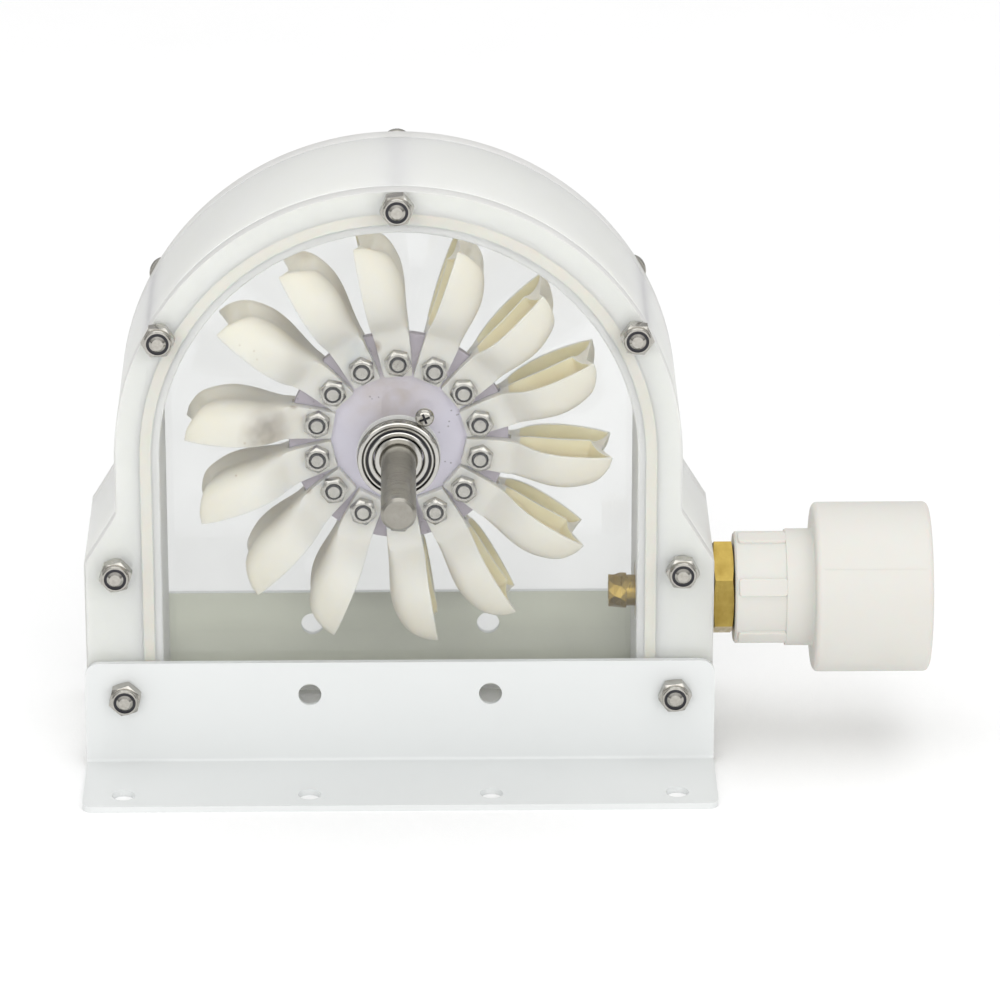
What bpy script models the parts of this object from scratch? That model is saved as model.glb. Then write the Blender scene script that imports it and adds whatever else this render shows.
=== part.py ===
"""Small demonstration Pelton wheel: a twin-cup bucket wheel in a clear-fronted housing.

Metres, +Z up. The wheel's axis runs along Y, the shaft points to -Y and the water
comes in from +X. The origin is on the floor, under the middle of the whole part.
"""
from math import atan2, cos, pi, radians, sin

import bmesh
import bpy
from mathutils import Matrix, Vector

MM = 0.001
GAP = 0.3 * MM

# Whole part
AXIS_HEIGHT = 114.5 * MM
HOUSING_DEPTH = 64.0 * MM
WINDOW_THICKNESS = 6.0 * MM
HOUSING_BOTTOM = 3.0 * MM

# Outline of the housing, seen from the front
ARCH_RADIUS = 97.5 * MM
ARCH_CENTRE = AXIS_HEIGHT - 1.0 * MM
FOOT_HALF_WIDTH = 108.8 * MM
SHOULDER_LOW = 75.2 * MM
SHOULDER_HIGH = 93.6 * MM
OPENING_RADIUS = 82.2 * MM
OPENING_CENTRE = AXIS_HEIGHT - 2.0 * MM
SEAL_RADIUS = 87.0 * MM
SEAL_GROOVE_WIDTH = 3.9 * MM
SEAL_GROOVE_DEPTH = 3.5 * MM
SEAL_CORD_RADIUS = 1.45 * MM
SEAL_END_HEIGHT = 8.0 * MM

# Angle brackets
BRACKET_LENGTH = 218.8 * MM
BRACKET_HEIGHT = 39.2 * MM
BRACKET_FOOT = 40.0 * MM
BRACKET_SHEET = 2.2 * MM
BRACKET_INNER_BEND = 1.0 * MM
BRACKET_TOP_CORNER = 5.0 * MM
BRACKET_FOOT_CORNER = 3.5 * MM
BRACKET_HOLE_RADIUS = 4.0 * MM
BRACKET_HOLE_X = (31.4 * MM, 95.5 * MM)
BRACKET_HOLE_HEIGHT = 27.1 * MM
BRACKET_FOOT_HOLE = 30.7 * MM

# Through bolts: (name, X, height, through the brackets too)
BOLT_HOLE_RADIUS = 3.3 * MM
BOLT_PLACES = (
    ("bolt_top", 0.0, AXIS_HEIGHT + 91.0 * MM, False),
    ("bolt_upper_left", -81.4 * MM, AXIS_HEIGHT + 44.3 * MM, False),
    ("bolt_upper_right", 81.4 * MM, AXIS_HEIGHT + 44.3 * MM, False),
    ("bolt_mid_left", -97.8 * MM, 72.5 * MM, False),
    ("bolt_mid_right", 97.8 * MM, 72.5 * MM, False),
    ("bolt_lower_left", -95.5 * MM, BRACKET_HOLE_HEIGHT, True),
    ("bolt_lower_right", 95.5 * MM, BRACKET_HOLE_HEIGHT, True),
)
BOLT_RADIUS = 3.0 * MM
BOLT_END_RADIUS = 2.4 * MM
BOLT_END_PROUD = 7.0 * MM
NUT_CORNER_RADIUS = 5.75 * MM
NUT_HEX_HEIGHT = 4.6 * MM
NUT_COLLAR_RADIUS = 4.9 * MM
NUT_COLLAR_TOP_RADIUS = 4.2 * MM
NUT_COLLAR_SHOULDER = 5.3 * MM
NUT_HEIGHT = 6.2 * MM
HEAD_RADIUS = 5.35 * MM
HEAD_HEIGHT = 3.1 * MM
HEAD_DOME = ((0.0, 1.0), (0.45, 0.85), (0.8, 0.5), (1.0, 0.0))

# Shaft and its two ball bearings
SHAFT_RADIUS = 6.0 * MM
SHAFT_FRONT = -84.3 * MM
SHAFT_REAR = 38.0 * MM
SHAFT_CHAMFER = 0.8 * MM
BEARING_RADIUS = 14.0 * MM
BEARING_WIDTH = 8.0 * MM
BEARING_PROUD = 3.0 * MM
BEARING_EDGE = 0.6 * MM
SHIELD_RADIUS = 12.0 * MM
SHIELD_STEP = 0.4 * MM
SHIELD_DEPTH = 0.9 * MM
RACE_RADIUS = 8.6 * MM
RACE_EDGE = 0.3 * MM
SCREW_OFFSET = (9.0 * MM, 15.0 * MM)
SCREW_HEAD_RADIUS = 3.15 * MM
SCREW_HEAD_HEIGHT = 2.3 * MM
SCREW_DOME = ((0.0, 1.0), (0.6, 0.88), (1.0, 0.35), (1.0, 0.0))
SCREW_SLOT = (3.4 * MM, 0.7 * MM, 2.0 * MM)
SCREW_SLOT_TURNS = (radians(20.0), radians(110.0))
SCREW_RADIUS = 1.5 * MM
SCREW_LENGTH = 5.0 * MM

# Wheel
WHEEL_Y = -7.5 * MM
DISC_RADIUS = 38.0 * MM
DISC_THICKNESS = 3.0 * MM
HUB_FLANGE_RADIUS = 17.0 * MM
HUB_FLANGE_THICKNESS = 3.0 * MM
HUB_BOSS_RADIUS = 11.0 * MM
HUB_LENGTH = 14.0 * MM

# One bucket, upright over the axis, its cups open towards -X. Each row is a cut across
# it, from the ears that hold the disc out to the two tips, in millimetres: distance from
# the axis, half width at the rim, half width at the bulge, height of the rim, of the
# splitter, of the floor of the cups, of the back and of the valley between the cups,
# roundness of the back, and how far the middle falls short of the tips at the rim and
# at the back. Heights count towards the opening.
BUCKET_CUTS = (
    (23.0, 5.0, 5.0, 5.2, 5.2, 5.2, -4.4, -4.4, 0.0, 0.0, 0.0),
    (26.0, 5.0, 5.0, 5.9, 5.9, 5.9, -4.7, -4.7, 0.0, 0.0, 0.0),
    (38.6, 5.2, 5.2, 7.7, 7.7, 7.7, -4.6, -4.6, 0.0, 0.0, 0.0),
    (41.3, 8.2, 6.9, 8.3, 8.2, 7.8, -4.6, -4.5, 0.3, 0.0, 0.0),
    (44.6, 11.8, 10.1, 8.7, 8.9, 4.2, -4.6, -4.0, 0.7, 0.0, 0.0),
    (48.8, 14.7, 13.4, 9.1, 9.5, -0.6, -4.9, -3.2, 1.0, 0.0, 0.0),
    (54.4, 16.2, 15.2, 9.8, 10.2, -3.4, -5.2, -2.6, 1.0, 0.0, 0.0),
    (60.4, 16.1, 15.1, 10.5, 11.0, -3.4, -4.8, -1.8, 1.0, 0.4, 0.2),
    (66.0, 15.2, 14.1, 11.1, 11.6, -0.4, -2.2, 0.4, 1.0, 1.8, 0.8),
    (70.2, 13.9, 12.9, 11.5, 11.9, 3.2, 1.6, 3.4, 1.0, 3.6, 2.0),
    (72.3, 12.9, 12.1, 11.7, 12.0, 6.4, 4.6, 5.6, 1.0, 4.6, 3.2),
    (73.6, 12.2, 11.6, 11.8, 12.0, 11.3, 8.2, 8.6, 1.0, 5.2, 4.2),
)
CUP_WALL = 1.3
SPLITTER_HALF = 0.5
# Shape of one cup in a cut: share of the way from splitter to rim, share of the depth left
CUP_SHAPE = ((0.0, 1.0), (0.16, 0.3), (0.5, 0.0), (0.86, 0.3), (1.0, 1.0))
# Shape of its back: share of the bulge that roundness takes off, share of the height
FLANK_HEIGHT = 0.45
BACK_CORNER = (0.17, 0.16)
BACK_MIDDLE = 0.5

BUCKET_BOLT_RADIUS = 28.8 * MM
# How far each bucket is turned on its bolt, in degrees, from the top one round to the right
BUCKET_TURNS = (-4.3, -0.7, -0.3, -3.6, -0.3, 1.3, 3.0, -2.0, 2.3, -0.8, -1.0, -2.5, 6.9, 3.0)

# Nozzle and pipe adapter, on one axis along X
NOZZLE_HEIGHT = AXIS_HEIGHT - 59.1 * MM
NOZZLE_TIP = 73.0 * MM
NOZZLE_TIP_END = 79.2 * MM
NOZZLE_TIP_RADIUS = 6.15 * MM
NOZZLE_NECK_RADIUS = 5.45 * MM
NOZZLE_THREAD_RADIUS = 10.2 * MM
NOZZLE_JET_RADIUS = 3.2 * MM
NOZZLE_BORE_RADIUS = 6.5 * MM
NOZZLE_BORE_TAPER = 4.0 * MM
NOZZLE_OVERLAP = 0.8 * MM
NOZZLE_HEX_START = 109.3 * MM
NOZZLE_HEX_END = 116.5 * MM
NOZZLE_HEX_FLATS = 30.0 * MM
NOZZLE_END = 134.0 * MM
ADAPTER_NECK_RADIUS = 20.5 * MM
ADAPTER_RIB_HEIGHT = 0.9 * MM
ADAPTER_RIB_WIDTH = 6.3 * MM
ADAPTER_RIB_START = 118.0 * MM
ADAPTER_RIB_END = 134.6 * MM
ADAPTER_RIB_ANGLE = radians(22.0)
ADAPTER_RIB_ROOT = 5.1 * MM
ADAPTER_RIBS = 6
ADAPTER_SHOULDER = 144.3 * MM
ADAPTER_END = 185.0 * MM
ADAPTER_RADIUS = 29.75 * MM
ADAPTER_SOCKET_RADIUS = 25.2 * MM
ADAPTER_SOCKET_BOTTOM = 150.0 * MM
ADAPTER_SOCKET_STOP = 4.0 * MM
ADAPTER_NIPPLE_STOP = 2.0 * MM
ADAPTER_EDGE = 2.0 * MM
ADAPTER_EDGE_MIDDLE = 0.6 * MM

# Derived places
FACE_Y = HOUSING_DEPTH / 2
BODY_HALF_DEPTH = FACE_Y - WINDOW_THICKNESS - GAP / 2
WINDOW_HALF = (WINDOW_THICKNESS - GAP / 2) / 2
BRACKET_BACK_Y = FACE_Y + GAP
BRACKET_FACE_Y = BRACKET_BACK_Y + BRACKET_SHEET
BRACKET_EDGE_Y = BRACKET_BACK_Y + BRACKET_FOOT
BEARING_FACE_Y = FACE_Y + BEARING_PROUD
MIDDLE_X = (ADAPTER_END - BRACKET_LENGTH / 2) / 2
MIDDLE_Y = (SHAFT_FRONT + BRACKET_EDGE_Y) / 2

ALONG_Y = (-pi / 2, 0.0, 0.0)
ALONG_X = (0.0, pi / 2, 0.0)
FACING_FRONT = (pi / 2, 0.0, 0.0)


def clear_scene():
    for old in list(bpy.data.objects):
        bpy.data.objects.remove(old, do_unlink=True)


def new_collection(name):
    collection = bpy.data.collections.new(name)
    bpy.context.scene.collection.children.link(collection)
    return collection


def new_material(name, colour, roughness, metallic=0.0, transmission=0.0):
    material = bpy.data.materials.new(name)
    material.use_nodes = True
    shader = material.node_tree.nodes["Principled BSDF"]
    shader.inputs["Base Color"].default_value = (*colour, 1.0)
    shader.inputs["Roughness"].default_value = roughness
    shader.inputs["Metallic"].default_value = metallic
    shader.inputs["Transmission Weight"].default_value = transmission
    return material


def new_empty(name, location, parent=None):
    empty = bpy.data.objects.new(name, None)
    empty.location = location
    empty.parent = parent
    PARTS.objects.link(empty)
    return empty


def place(obj, material=None, location=(0.0, 0.0, 0.0), rotation=(0.0, 0.0, 0.0), parent=None):
    """Link a finished object into the part, or into the cutters when it has no material."""
    obj.location = location
    obj.rotation_euler = rotation
    if material is None:
        CUTTERS.objects.link(obj)
        obj.hide_render = True
        obj.display_type = "WIRE"
    else:
        PARTS.objects.link(obj)
        obj.data.materials.append(material)
    obj.parent = parent
    return obj


def turned(name, profile, steps):
    """Spin a profile of (radius, height) about its own Z axis with a Screw modifier.

    A profile that starts on the axis is an open line down the outer side; one that
    never reaches it is a closed loop, which makes a ring.
    """
    closed = profile[0][0] > 0.0
    mesh = bpy.data.meshes.new(name)
    outline = bmesh.new()
    points = [outline.verts.new((radius, 0.0, height)) for radius, height in profile]
    for first, second in zip(points, points[1:]):
        outline.edges.new((first, second))
    if closed:
        outline.edges.new((points[-1], points[0]))
    outline.to_mesh(mesh)
    outline.free()
    obj = bpy.data.objects.new(name, mesh)
    screw = obj.modifiers.new("turn", "SCREW")
    screw.steps = screw.render_steps = steps
    screw.use_merge_vertices = True
    screw.merge_threshold = 0.00001
    return obj


def flat_plate(name, outlines, half_thickness):
    """A plate from closed outlines of (x, y): the first is its edge, the others are holes."""
    curve = bpy.data.curves.new(name, "CURVE")
    curve.dimensions = "2D"
    curve.fill_mode = "BOTH"
    curve.extrude = half_thickness
    for outline in outlines:
        spline = curve.splines.new("POLY")
        spline.points.add(len(outline) - 1)
        for point, (x, y) in zip(spline.points, outline):
            point.co = (x, y, 0.0, 1.0)
        spline.use_cyclic_u = True
    source = bpy.data.objects.new(name + "_curve", curve)
    bpy.context.scene.collection.objects.link(source)
    graph = bpy.context.evaluated_depsgraph_get()
    mesh = bpy.data.meshes.new_from_object(source.evaluated_get(graph))
    bpy.data.objects.remove(source, do_unlink=True)
    welded = bmesh.new()
    welded.from_mesh(mesh)
    bmesh.ops.remove_doubles(welded, verts=welded.verts, dist=0.000001)
    bmesh.ops.recalc_face_normals(welded, faces=welded.faces)
    welded.to_mesh(mesh)
    welded.free()
    mesh.name = name
    return bpy.data.objects.new(name, mesh)


def prism(name, radius, depth, sides):
    """An upright prism or cylinder about its own Z axis, centred on its origin."""
    mesh = bpy.data.meshes.new(name)
    shape = bmesh.new()
    bmesh.ops.create_cone(shape, cap_ends=True, segments=sides, radius1=radius, radius2=radius,
                          depth=depth)
    shape.to_mesh(mesh)
    shape.free()
    return bpy.data.objects.new(name, mesh)


def box(name, size):
    mesh = bpy.data.meshes.new(name)
    shape = bmesh.new()
    bmesh.ops.create_cube(shape, size=1.0)
    bmesh.ops.scale(shape, vec=size, verts=shape.verts)
    shape.to_mesh(mesh)
    shape.free()
    return bpy.data.objects.new(name, mesh)


def boolean(target, tool, operation):
    step = target.modifiers.new(tool.name, "BOOLEAN")
    step.operation = operation
    step.object = tool
    step.solver = "EXACT"


def shade_round(obj, angle=30.0):
    obj.data.shade_smooth()
    obj.data.set_sharp_from_angle(angle=radians(angle))


def arc(centre_x, centre_y, radius, start, end, steps):
    """Points from one angle to another, in degrees, both ends included."""
    points = []
    for step in range(steps + 1):
        angle = radians(start + (end - start) * step / steps)
        points.append((centre_x + radius * cos(angle), centre_y + radius * sin(angle)))
    return points


def circle(centre_x, centre_y, radius, steps=12):
    return arc(centre_x, centre_y, radius, 0.0, 360.0, steps)[:-1]


def bolt_holes():
    return [circle(x, height, BOLT_HOLE_RADIUS) for name, x, height, low in BOLT_PLACES]


def housing_edge():
    """The outer edge, from the left foot over the arch to the right foot."""
    left_foot = [(-FOOT_HALF_WIDTH, HOUSING_BOTTOM), (-FOOT_HALF_WIDTH, SHOULDER_LOW),
                 (-ARCH_RADIUS, SHOULDER_HIGH)]
    right_foot = [(-x, y) for x, y in reversed(left_foot)]
    return left_foot + arc(0.0, ARCH_CENTRE, ARCH_RADIUS, 180.0, 0.0, 36) + right_foot


def arch_line(radius, bottom, steps):
    """A line up the left leg, over the arch and down the right leg."""
    return [(-radius, bottom)] + arc(0.0, OPENING_CENTRE, radius, 180.0, 0.0, steps) + [(radius, bottom)]


def make_housing(parent):
    plastic = new_material("white_plastic", (0.80, 0.81, 0.78), 0.45)
    opening = list(reversed(arch_line(OPENING_RADIUS, HOUSING_BOTTOM, 32)))
    body = flat_plate("housing_body", [housing_edge() + opening] + bolt_holes(), BODY_HALF_DEPTH)
    place(body, plastic, rotation=FACING_FRONT, parent=parent)

    half = SEAL_GROOVE_WIDTH / 2
    band = arch_line(SEAL_RADIUS + half, SEAL_END_HEIGHT, 32)
    band += list(reversed(arch_line(SEAL_RADIUS - half, SEAL_END_HEIGHT, 32)))
    for side, name in ((-1, "front"), (1, "rear")):
        groove = flat_plate(name + "_groove_cutter", [band], SEAL_GROOVE_DEPTH)
        place(groove, location=(0.0, side * BODY_HALF_DEPTH, 0.0), rotation=FACING_FRONT, parent=parent)
        boolean(body, groove, "DIFFERENCE")

    nozzle_hole = prism("nozzle_hole_cutter", NOZZLE_THREAD_RADIUS + GAP, FOOT_HALF_WIDTH, 24)
    place(nozzle_hole, location=(FOOT_HALF_WIDTH, WHEEL_Y, NOZZLE_HEIGHT), rotation=ALONG_X, parent=parent)
    boolean(body, nozzle_hole, "DIFFERENCE")


def make_seal(name, side, parent):
    """A round cord laid in the groove, as a tube along the groove's middle line."""
    rubber = new_material(name + "_rubber", (0.62, 0.60, 0.50), 0.6)
    line = arch_line(SEAL_RADIUS, SEAL_END_HEIGHT + GAP, 36)
    curve = bpy.data.curves.new(name, "CURVE")
    curve.dimensions = "3D"
    curve.bevel_depth = SEAL_CORD_RADIUS
    curve.bevel_resolution = 1
    curve.use_fill_caps = True
    spline = curve.splines.new("POLY")
    spline.points.add(len(line) - 1)
    depth = side * (BODY_HALF_DEPTH - SEAL_GROOVE_DEPTH / 2)
    for point, (x, height) in zip(spline.points, line):
        point.co = (x, depth, height, 1.0)
    place(bpy.data.objects.new(name, curve), rubber, parent=parent)


def make_window(name, side, parent):
    acrylic = new_material(name + "_acrylic", (0.93, 0.95, 0.95), 0.05, transmission=1.0)
    holes = bolt_holes() + [circle(0.0, AXIS_HEIGHT, BEARING_RADIUS + GAP, 32)]
    if side < 0:
        holes.append(circle(SCREW_OFFSET[0], AXIS_HEIGHT + SCREW_OFFSET[1], SCREW_RADIUS + GAP, 12))
    window = flat_plate(name, [housing_edge()] + holes, WINDOW_HALF)
    place(window, acrylic, location=(0.0, side * (FACE_Y - WINDOW_HALF), 0.0), rotation=FACING_FRONT,
          parent=parent)


def bracket_profile():
    """Cross-section of the angle: (distance out from the housing, height)."""
    bend = BRACKET_SHEET + BRACKET_INNER_BEND
    outside = arc(bend, bend, bend, 180.0, 270.0, 5)
    inside = arc(bend, bend, BRACKET_INNER_BEND, 270.0, 180.0, 3)
    foot_end = [(BRACKET_FOOT, 0.0), (BRACKET_FOOT, BRACKET_SHEET)]
    top_end = [(BRACKET_SHEET, BRACKET_HEIGHT), (0.0, BRACKET_HEIGHT)]
    return outside + foot_end + inside + top_end


def round_corners(mesh, chosen, radius):
    """Round the short edges across the sheet, one at each end, at the corner that the test picks."""
    shape = bmesh.new()
    shape.from_mesh(mesh)
    bmesh.ops.dissolve_limit(shape, angle_limit=radians(1.0), verts=shape.verts, edges=shape.edges)
    edges = [edge for edge in shape.edges
             if abs(edge.verts[0].co.z - edge.verts[1].co.z) < 0.00001
             and all(chosen(vert.co) for vert in edge.verts)]
    bmesh.ops.bevel(shape, geom=edges, offset=radius, segments=5, profile=0.5, affect="EDGES",
                    material=-1)
    shape.to_mesh(mesh)
    shape.free()


def make_bracket(name, side, parent):
    """Side -1 is the front bracket; the rear one is the same piece turned half round."""
    paint = new_material(name + "_paint", (0.84, 0.86, 0.87), 0.35)
    bracket = flat_plate(name, [bracket_profile()], BRACKET_LENGTH / 2)
    round_corners(bracket.data, lambda co: abs(co.y - BRACKET_HEIGHT) < 0.00001, BRACKET_TOP_CORNER)
    round_corners(bracket.data, lambda co: abs(co.x - BRACKET_FOOT) < 0.00001, BRACKET_FOOT_CORNER)
    turn = Matrix.Rotation(-pi / 2, 4, "Z") @ Matrix.Rotation(pi / 2, 4, "X")
    bracket.data.transform(turn)
    facing = 0.0 if side < 0 else pi
    place(bracket, paint, location=(0.0, side * BRACKET_BACK_Y, 0.0), rotation=(0.0, 0.0, facing),
          parent=parent)
    for x in BRACKET_HOLE_X:
        for sign in (-1, 1):
            upright = prism(name + "_hole_cutter", BRACKET_HOLE_RADIUS, 4 * BRACKET_SHEET, 16)
            place(upright, location=(sign * x, side * BRACKET_FACE_Y, BRACKET_HOLE_HEIGHT),
                  rotation=ALONG_Y, parent=parent)
            foot = prism(name + "_foot_hole_cutter", BRACKET_HOLE_RADIUS, 4 * BRACKET_SHEET, 16)
            place(foot, location=(sign * x, side * (BRACKET_BACK_Y + BRACKET_FOOT_HOLE), 0.0),
                  parent=parent)
            boolean(bracket, upright, "DIFFERENCE")
            boolean(bracket, foot, "DIFFERENCE")


def make_bolt(name, x, height, through_brackets, parent):
    """Domed head at the rear, lock nut with its round collar at the front."""
    steel = new_material(name + "_steel", (0.62, 0.61, 0.58), 0.25, 1.0)
    seat = (BRACKET_FACE_Y if through_brackets else FACE_Y) + GAP
    head = [(across * HEAD_RADIUS, seat + up * HEAD_HEIGHT) for across, up in HEAD_DOME]
    shank = [(BOLT_RADIUS, seat), (BOLT_RADIUS, -seat)]
    collar = [(NUT_COLLAR_RADIUS, -seat), (NUT_COLLAR_RADIUS, -seat - NUT_COLLAR_SHOULDER),
              (NUT_COLLAR_TOP_RADIUS, -seat - NUT_HEIGHT)]
    end = [(BOLT_RADIUS, -seat - NUT_HEIGHT), (BOLT_END_RADIUS, -seat - BOLT_END_PROUD),
           (0.0, -seat - BOLT_END_PROUD)]
    bolt = turned(name, head + shank + collar + end, 12)
    shade_round(bolt)
    place(bolt, steel, location=(x, 0.0, height), rotation=ALONG_Y, parent=parent)
    nut = prism(name + "_hex", NUT_CORNER_RADIUS, NUT_HEX_HEIGHT, 6)
    place(nut, location=(x, -seat - NUT_HEX_HEIGHT / 2, height), rotation=(pi / 2, pi / 6, 0.0),
          parent=parent)
    boolean(bolt, nut, "UNION")


def make_bearing(name, side, parent):
    """Outer ring and shield in one turned piece, with the shield set back from the face."""
    steel = new_material(name + "_steel", (0.60, 0.59, 0.56), 0.2, 1.0)
    half = BEARING_WIDTH / 2
    shield = half - SHIELD_DEPTH
    inside = SHIELD_RADIUS - SHIELD_STEP
    profile = [(BEARING_RADIUS - BEARING_EDGE, half), (BEARING_RADIUS, half - BEARING_EDGE),
               (BEARING_RADIUS, BEARING_EDGE - half), (BEARING_RADIUS - BEARING_EDGE, -half),
               (SHIELD_RADIUS, -half), (inside, -shield), (RACE_RADIUS, -shield),
               (RACE_RADIUS, shield), (inside, shield), (SHIELD_RADIUS, half)]
    bearing = turned(name, profile, 32)
    shade_round(bearing)
    place(bearing, steel, location=(0.0, side * (BEARING_FACE_Y - half), AXIS_HEIGHT), rotation=ALONG_Y,
          parent=parent)


def make_inner_ring(name, side, parent):
    """The ring that turns with the shaft; its parent stands on the wheel's axis."""
    steel = new_material(name + "_steel", (0.60, 0.59, 0.56), 0.2, 1.0)
    half = BEARING_WIDTH / 2
    inside = SHAFT_RADIUS + GAP
    outside = RACE_RADIUS - GAP
    profile = [(outside - RACE_EDGE, half), (outside, half - RACE_EDGE), (outside, RACE_EDGE - half),
               (outside - RACE_EDGE, -half), (inside, -half), (inside, half)]
    ring = turned(name, profile, 24)
    shade_round(ring)
    place(ring, steel, location=(0.0, side * (BEARING_FACE_Y - half), 0.0), rotation=ALONG_Y, parent=parent)


def make_bearing_screw(parent):
    steel = new_material("bearing_screw_steel", (0.62, 0.61, 0.58), 0.25, 1.0)
    x, height = SCREW_OFFSET[0], AXIS_HEIGHT + SCREW_OFFSET[1]
    head = [(across * SCREW_HEAD_RADIUS, GAP + up * SCREW_HEAD_HEIGHT) for across, up in SCREW_DOME]
    shank = [(SCREW_RADIUS, GAP), (SCREW_RADIUS, -SCREW_LENGTH), (0.0, -SCREW_LENGTH)]
    screw = turned("bearing_screw", head + shank, 16)
    shade_round(screw)
    place(screw, steel, location=(x, -FACE_Y, height), rotation=FACING_FRONT, parent=parent)
    for turn in SCREW_SLOT_TURNS:
        slot = box("screw_slot_cutter", SCREW_SLOT)
        place(slot, location=(x, -FACE_Y - GAP - SCREW_HEAD_HEIGHT, height), rotation=(pi / 2, turn, 0.0),
              parent=parent)
        boolean(screw, slot, "DIFFERENCE")


def add_prism(target, name, outside, inside, start, end):
    """Add a hollow six-sided band to the nozzle, from one place along X to another."""
    middle = ((start + end) / 2, WHEEL_Y, NOZZLE_HEIGHT)
    band = prism(name, outside, end - start, 6)
    place(band, location=middle, rotation=ALONG_X, parent=target.parent)
    bore = prism(name + "_bore", inside, 2 * (end - start), 24)
    place(bore, location=middle, rotation=ALONG_X, parent=target.parent)
    boolean(band, bore, "DIFFERENCE")
    boolean(target, band, "UNION")


def make_nozzle(parent):
    """Brass nozzle: faceted tip, neck, thread through the wall, hexagon and a nipple outside."""
    brass = new_material("brass", (0.60, 0.42, 0.16), 0.35, 1.0)
    inner_wall = OPENING_RADIUS + GAP
    profile = [(NOZZLE_BORE_RADIUS, NOZZLE_END), (NOZZLE_THREAD_RADIUS, NOZZLE_END),
               (NOZZLE_THREAD_RADIUS, inner_wall), (NOZZLE_NECK_RADIUS, inner_wall),
               (NOZZLE_NECK_RADIUS, NOZZLE_TIP), (NOZZLE_JET_RADIUS, NOZZLE_TIP),
               (NOZZLE_JET_RADIUS, inner_wall), (NOZZLE_BORE_RADIUS, inner_wall + NOZZLE_BORE_TAPER)]
    nozzle = turned("nozzle", profile, 24)
    place(nozzle, brass, location=(0.0, WHEEL_Y, NOZZLE_HEIGHT), rotation=ALONG_X, parent=parent)
    add_prism(nozzle, "nozzle_hexagon", NOZZLE_HEX_FLATS / 2 / cos(pi / 6),
              NOZZLE_THREAD_RADIUS - NOZZLE_OVERLAP, NOZZLE_HEX_START, NOZZLE_HEX_END)
    add_prism(nozzle, "nozzle_tip", NOZZLE_TIP_RADIUS, NOZZLE_NECK_RADIUS - NOZZLE_OVERLAP,
              NOZZLE_TIP, NOZZLE_TIP_END)


def make_adapter(parent):
    """White plastic adapter: ribbed neck on the nipple, wide socket for the supply pipe."""
    plastic = new_material("pipe_plastic", (0.82, 0.81, 0.77), 0.4)
    start = NOZZLE_HEX_END + GAP
    bore = NOZZLE_THREAD_RADIUS + GAP
    low = ADAPTER_NECK_RADIUS - ADAPTER_RIB_HEIGHT
    inner_edge = ADAPTER_RADIUS - ADAPTER_EDGE
    middle_edge = ADAPTER_RADIUS - ADAPTER_EDGE_MIDDLE
    stop = NOZZLE_END + ADAPTER_NIPPLE_STOP
    socket = [(inner_edge, ADAPTER_END), (middle_edge, ADAPTER_END - ADAPTER_EDGE_MIDDLE),
              (ADAPTER_RADIUS, ADAPTER_END - ADAPTER_EDGE), (ADAPTER_RADIUS, ADAPTER_SHOULDER + ADAPTER_EDGE),
              (middle_edge, ADAPTER_SHOULDER + ADAPTER_EDGE_MIDDLE), (inner_edge, ADAPTER_SHOULDER)]
    neck = [(ADAPTER_NECK_RADIUS, ADAPTER_SHOULDER), (ADAPTER_NECK_RADIUS, ADAPTER_RIB_END),
            (low, ADAPTER_RIB_END), (low, start)]
    inside = [(bore, start), (bore, stop), (NOZZLE_BORE_RADIUS, stop),
              (ADAPTER_SOCKET_RADIUS - ADAPTER_SOCKET_STOP, ADAPTER_SOCKET_BOTTOM),
              (ADAPTER_SOCKET_RADIUS, ADAPTER_SOCKET_BOTTOM), (ADAPTER_SOCKET_RADIUS, ADAPTER_END)]
    adapter = turned("pipe_adapter", socket + neck + inside, 32)
    place(adapter, plastic, location=(0.0, WHEEL_Y, NOZZLE_HEIGHT), rotation=ALONG_X, parent=parent)
    length = ADAPTER_RIB_END - ADAPTER_RIB_START + GAP
    thickness = ADAPTER_RIB_HEIGHT + ADAPTER_RIB_ROOT
    for number in range(ADAPTER_RIBS):
        angle = ADAPTER_RIB_ANGLE + number * 2 * pi / ADAPTER_RIBS
        rib = box("adapter_rib", (length, ADAPTER_RIB_WIDTH, thickness))
        rib.data.transform(Matrix.Translation((ADAPTER_RIB_START + length / 2, 0.0,
                                               ADAPTER_NECK_RADIUS - thickness / 2)))
        place(rib, location=(0.0, WHEEL_Y, NOZZLE_HEIGHT), rotation=(angle + pi / 2, 0.0, 0.0), parent=parent)
        boolean(adapter, rib, "UNION")


def make_shaft(parent):
    steel = new_material("shaft_steel", (0.58, 0.57, 0.54), 0.25, 1.0)
    profile = [(0.0, SHAFT_REAR), (SHAFT_RADIUS - SHAFT_CHAMFER, SHAFT_REAR),
               (SHAFT_RADIUS, SHAFT_REAR - SHAFT_CHAMFER), (SHAFT_RADIUS, SHAFT_FRONT + SHAFT_CHAMFER),
               (SHAFT_RADIUS - SHAFT_CHAMFER, SHAFT_FRONT), (0.0, SHAFT_FRONT)]
    shaft = turned("shaft", profile, 24)
    shade_round(shaft)
    place(shaft, steel, rotation=ALONG_Y, parent=parent)


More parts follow.
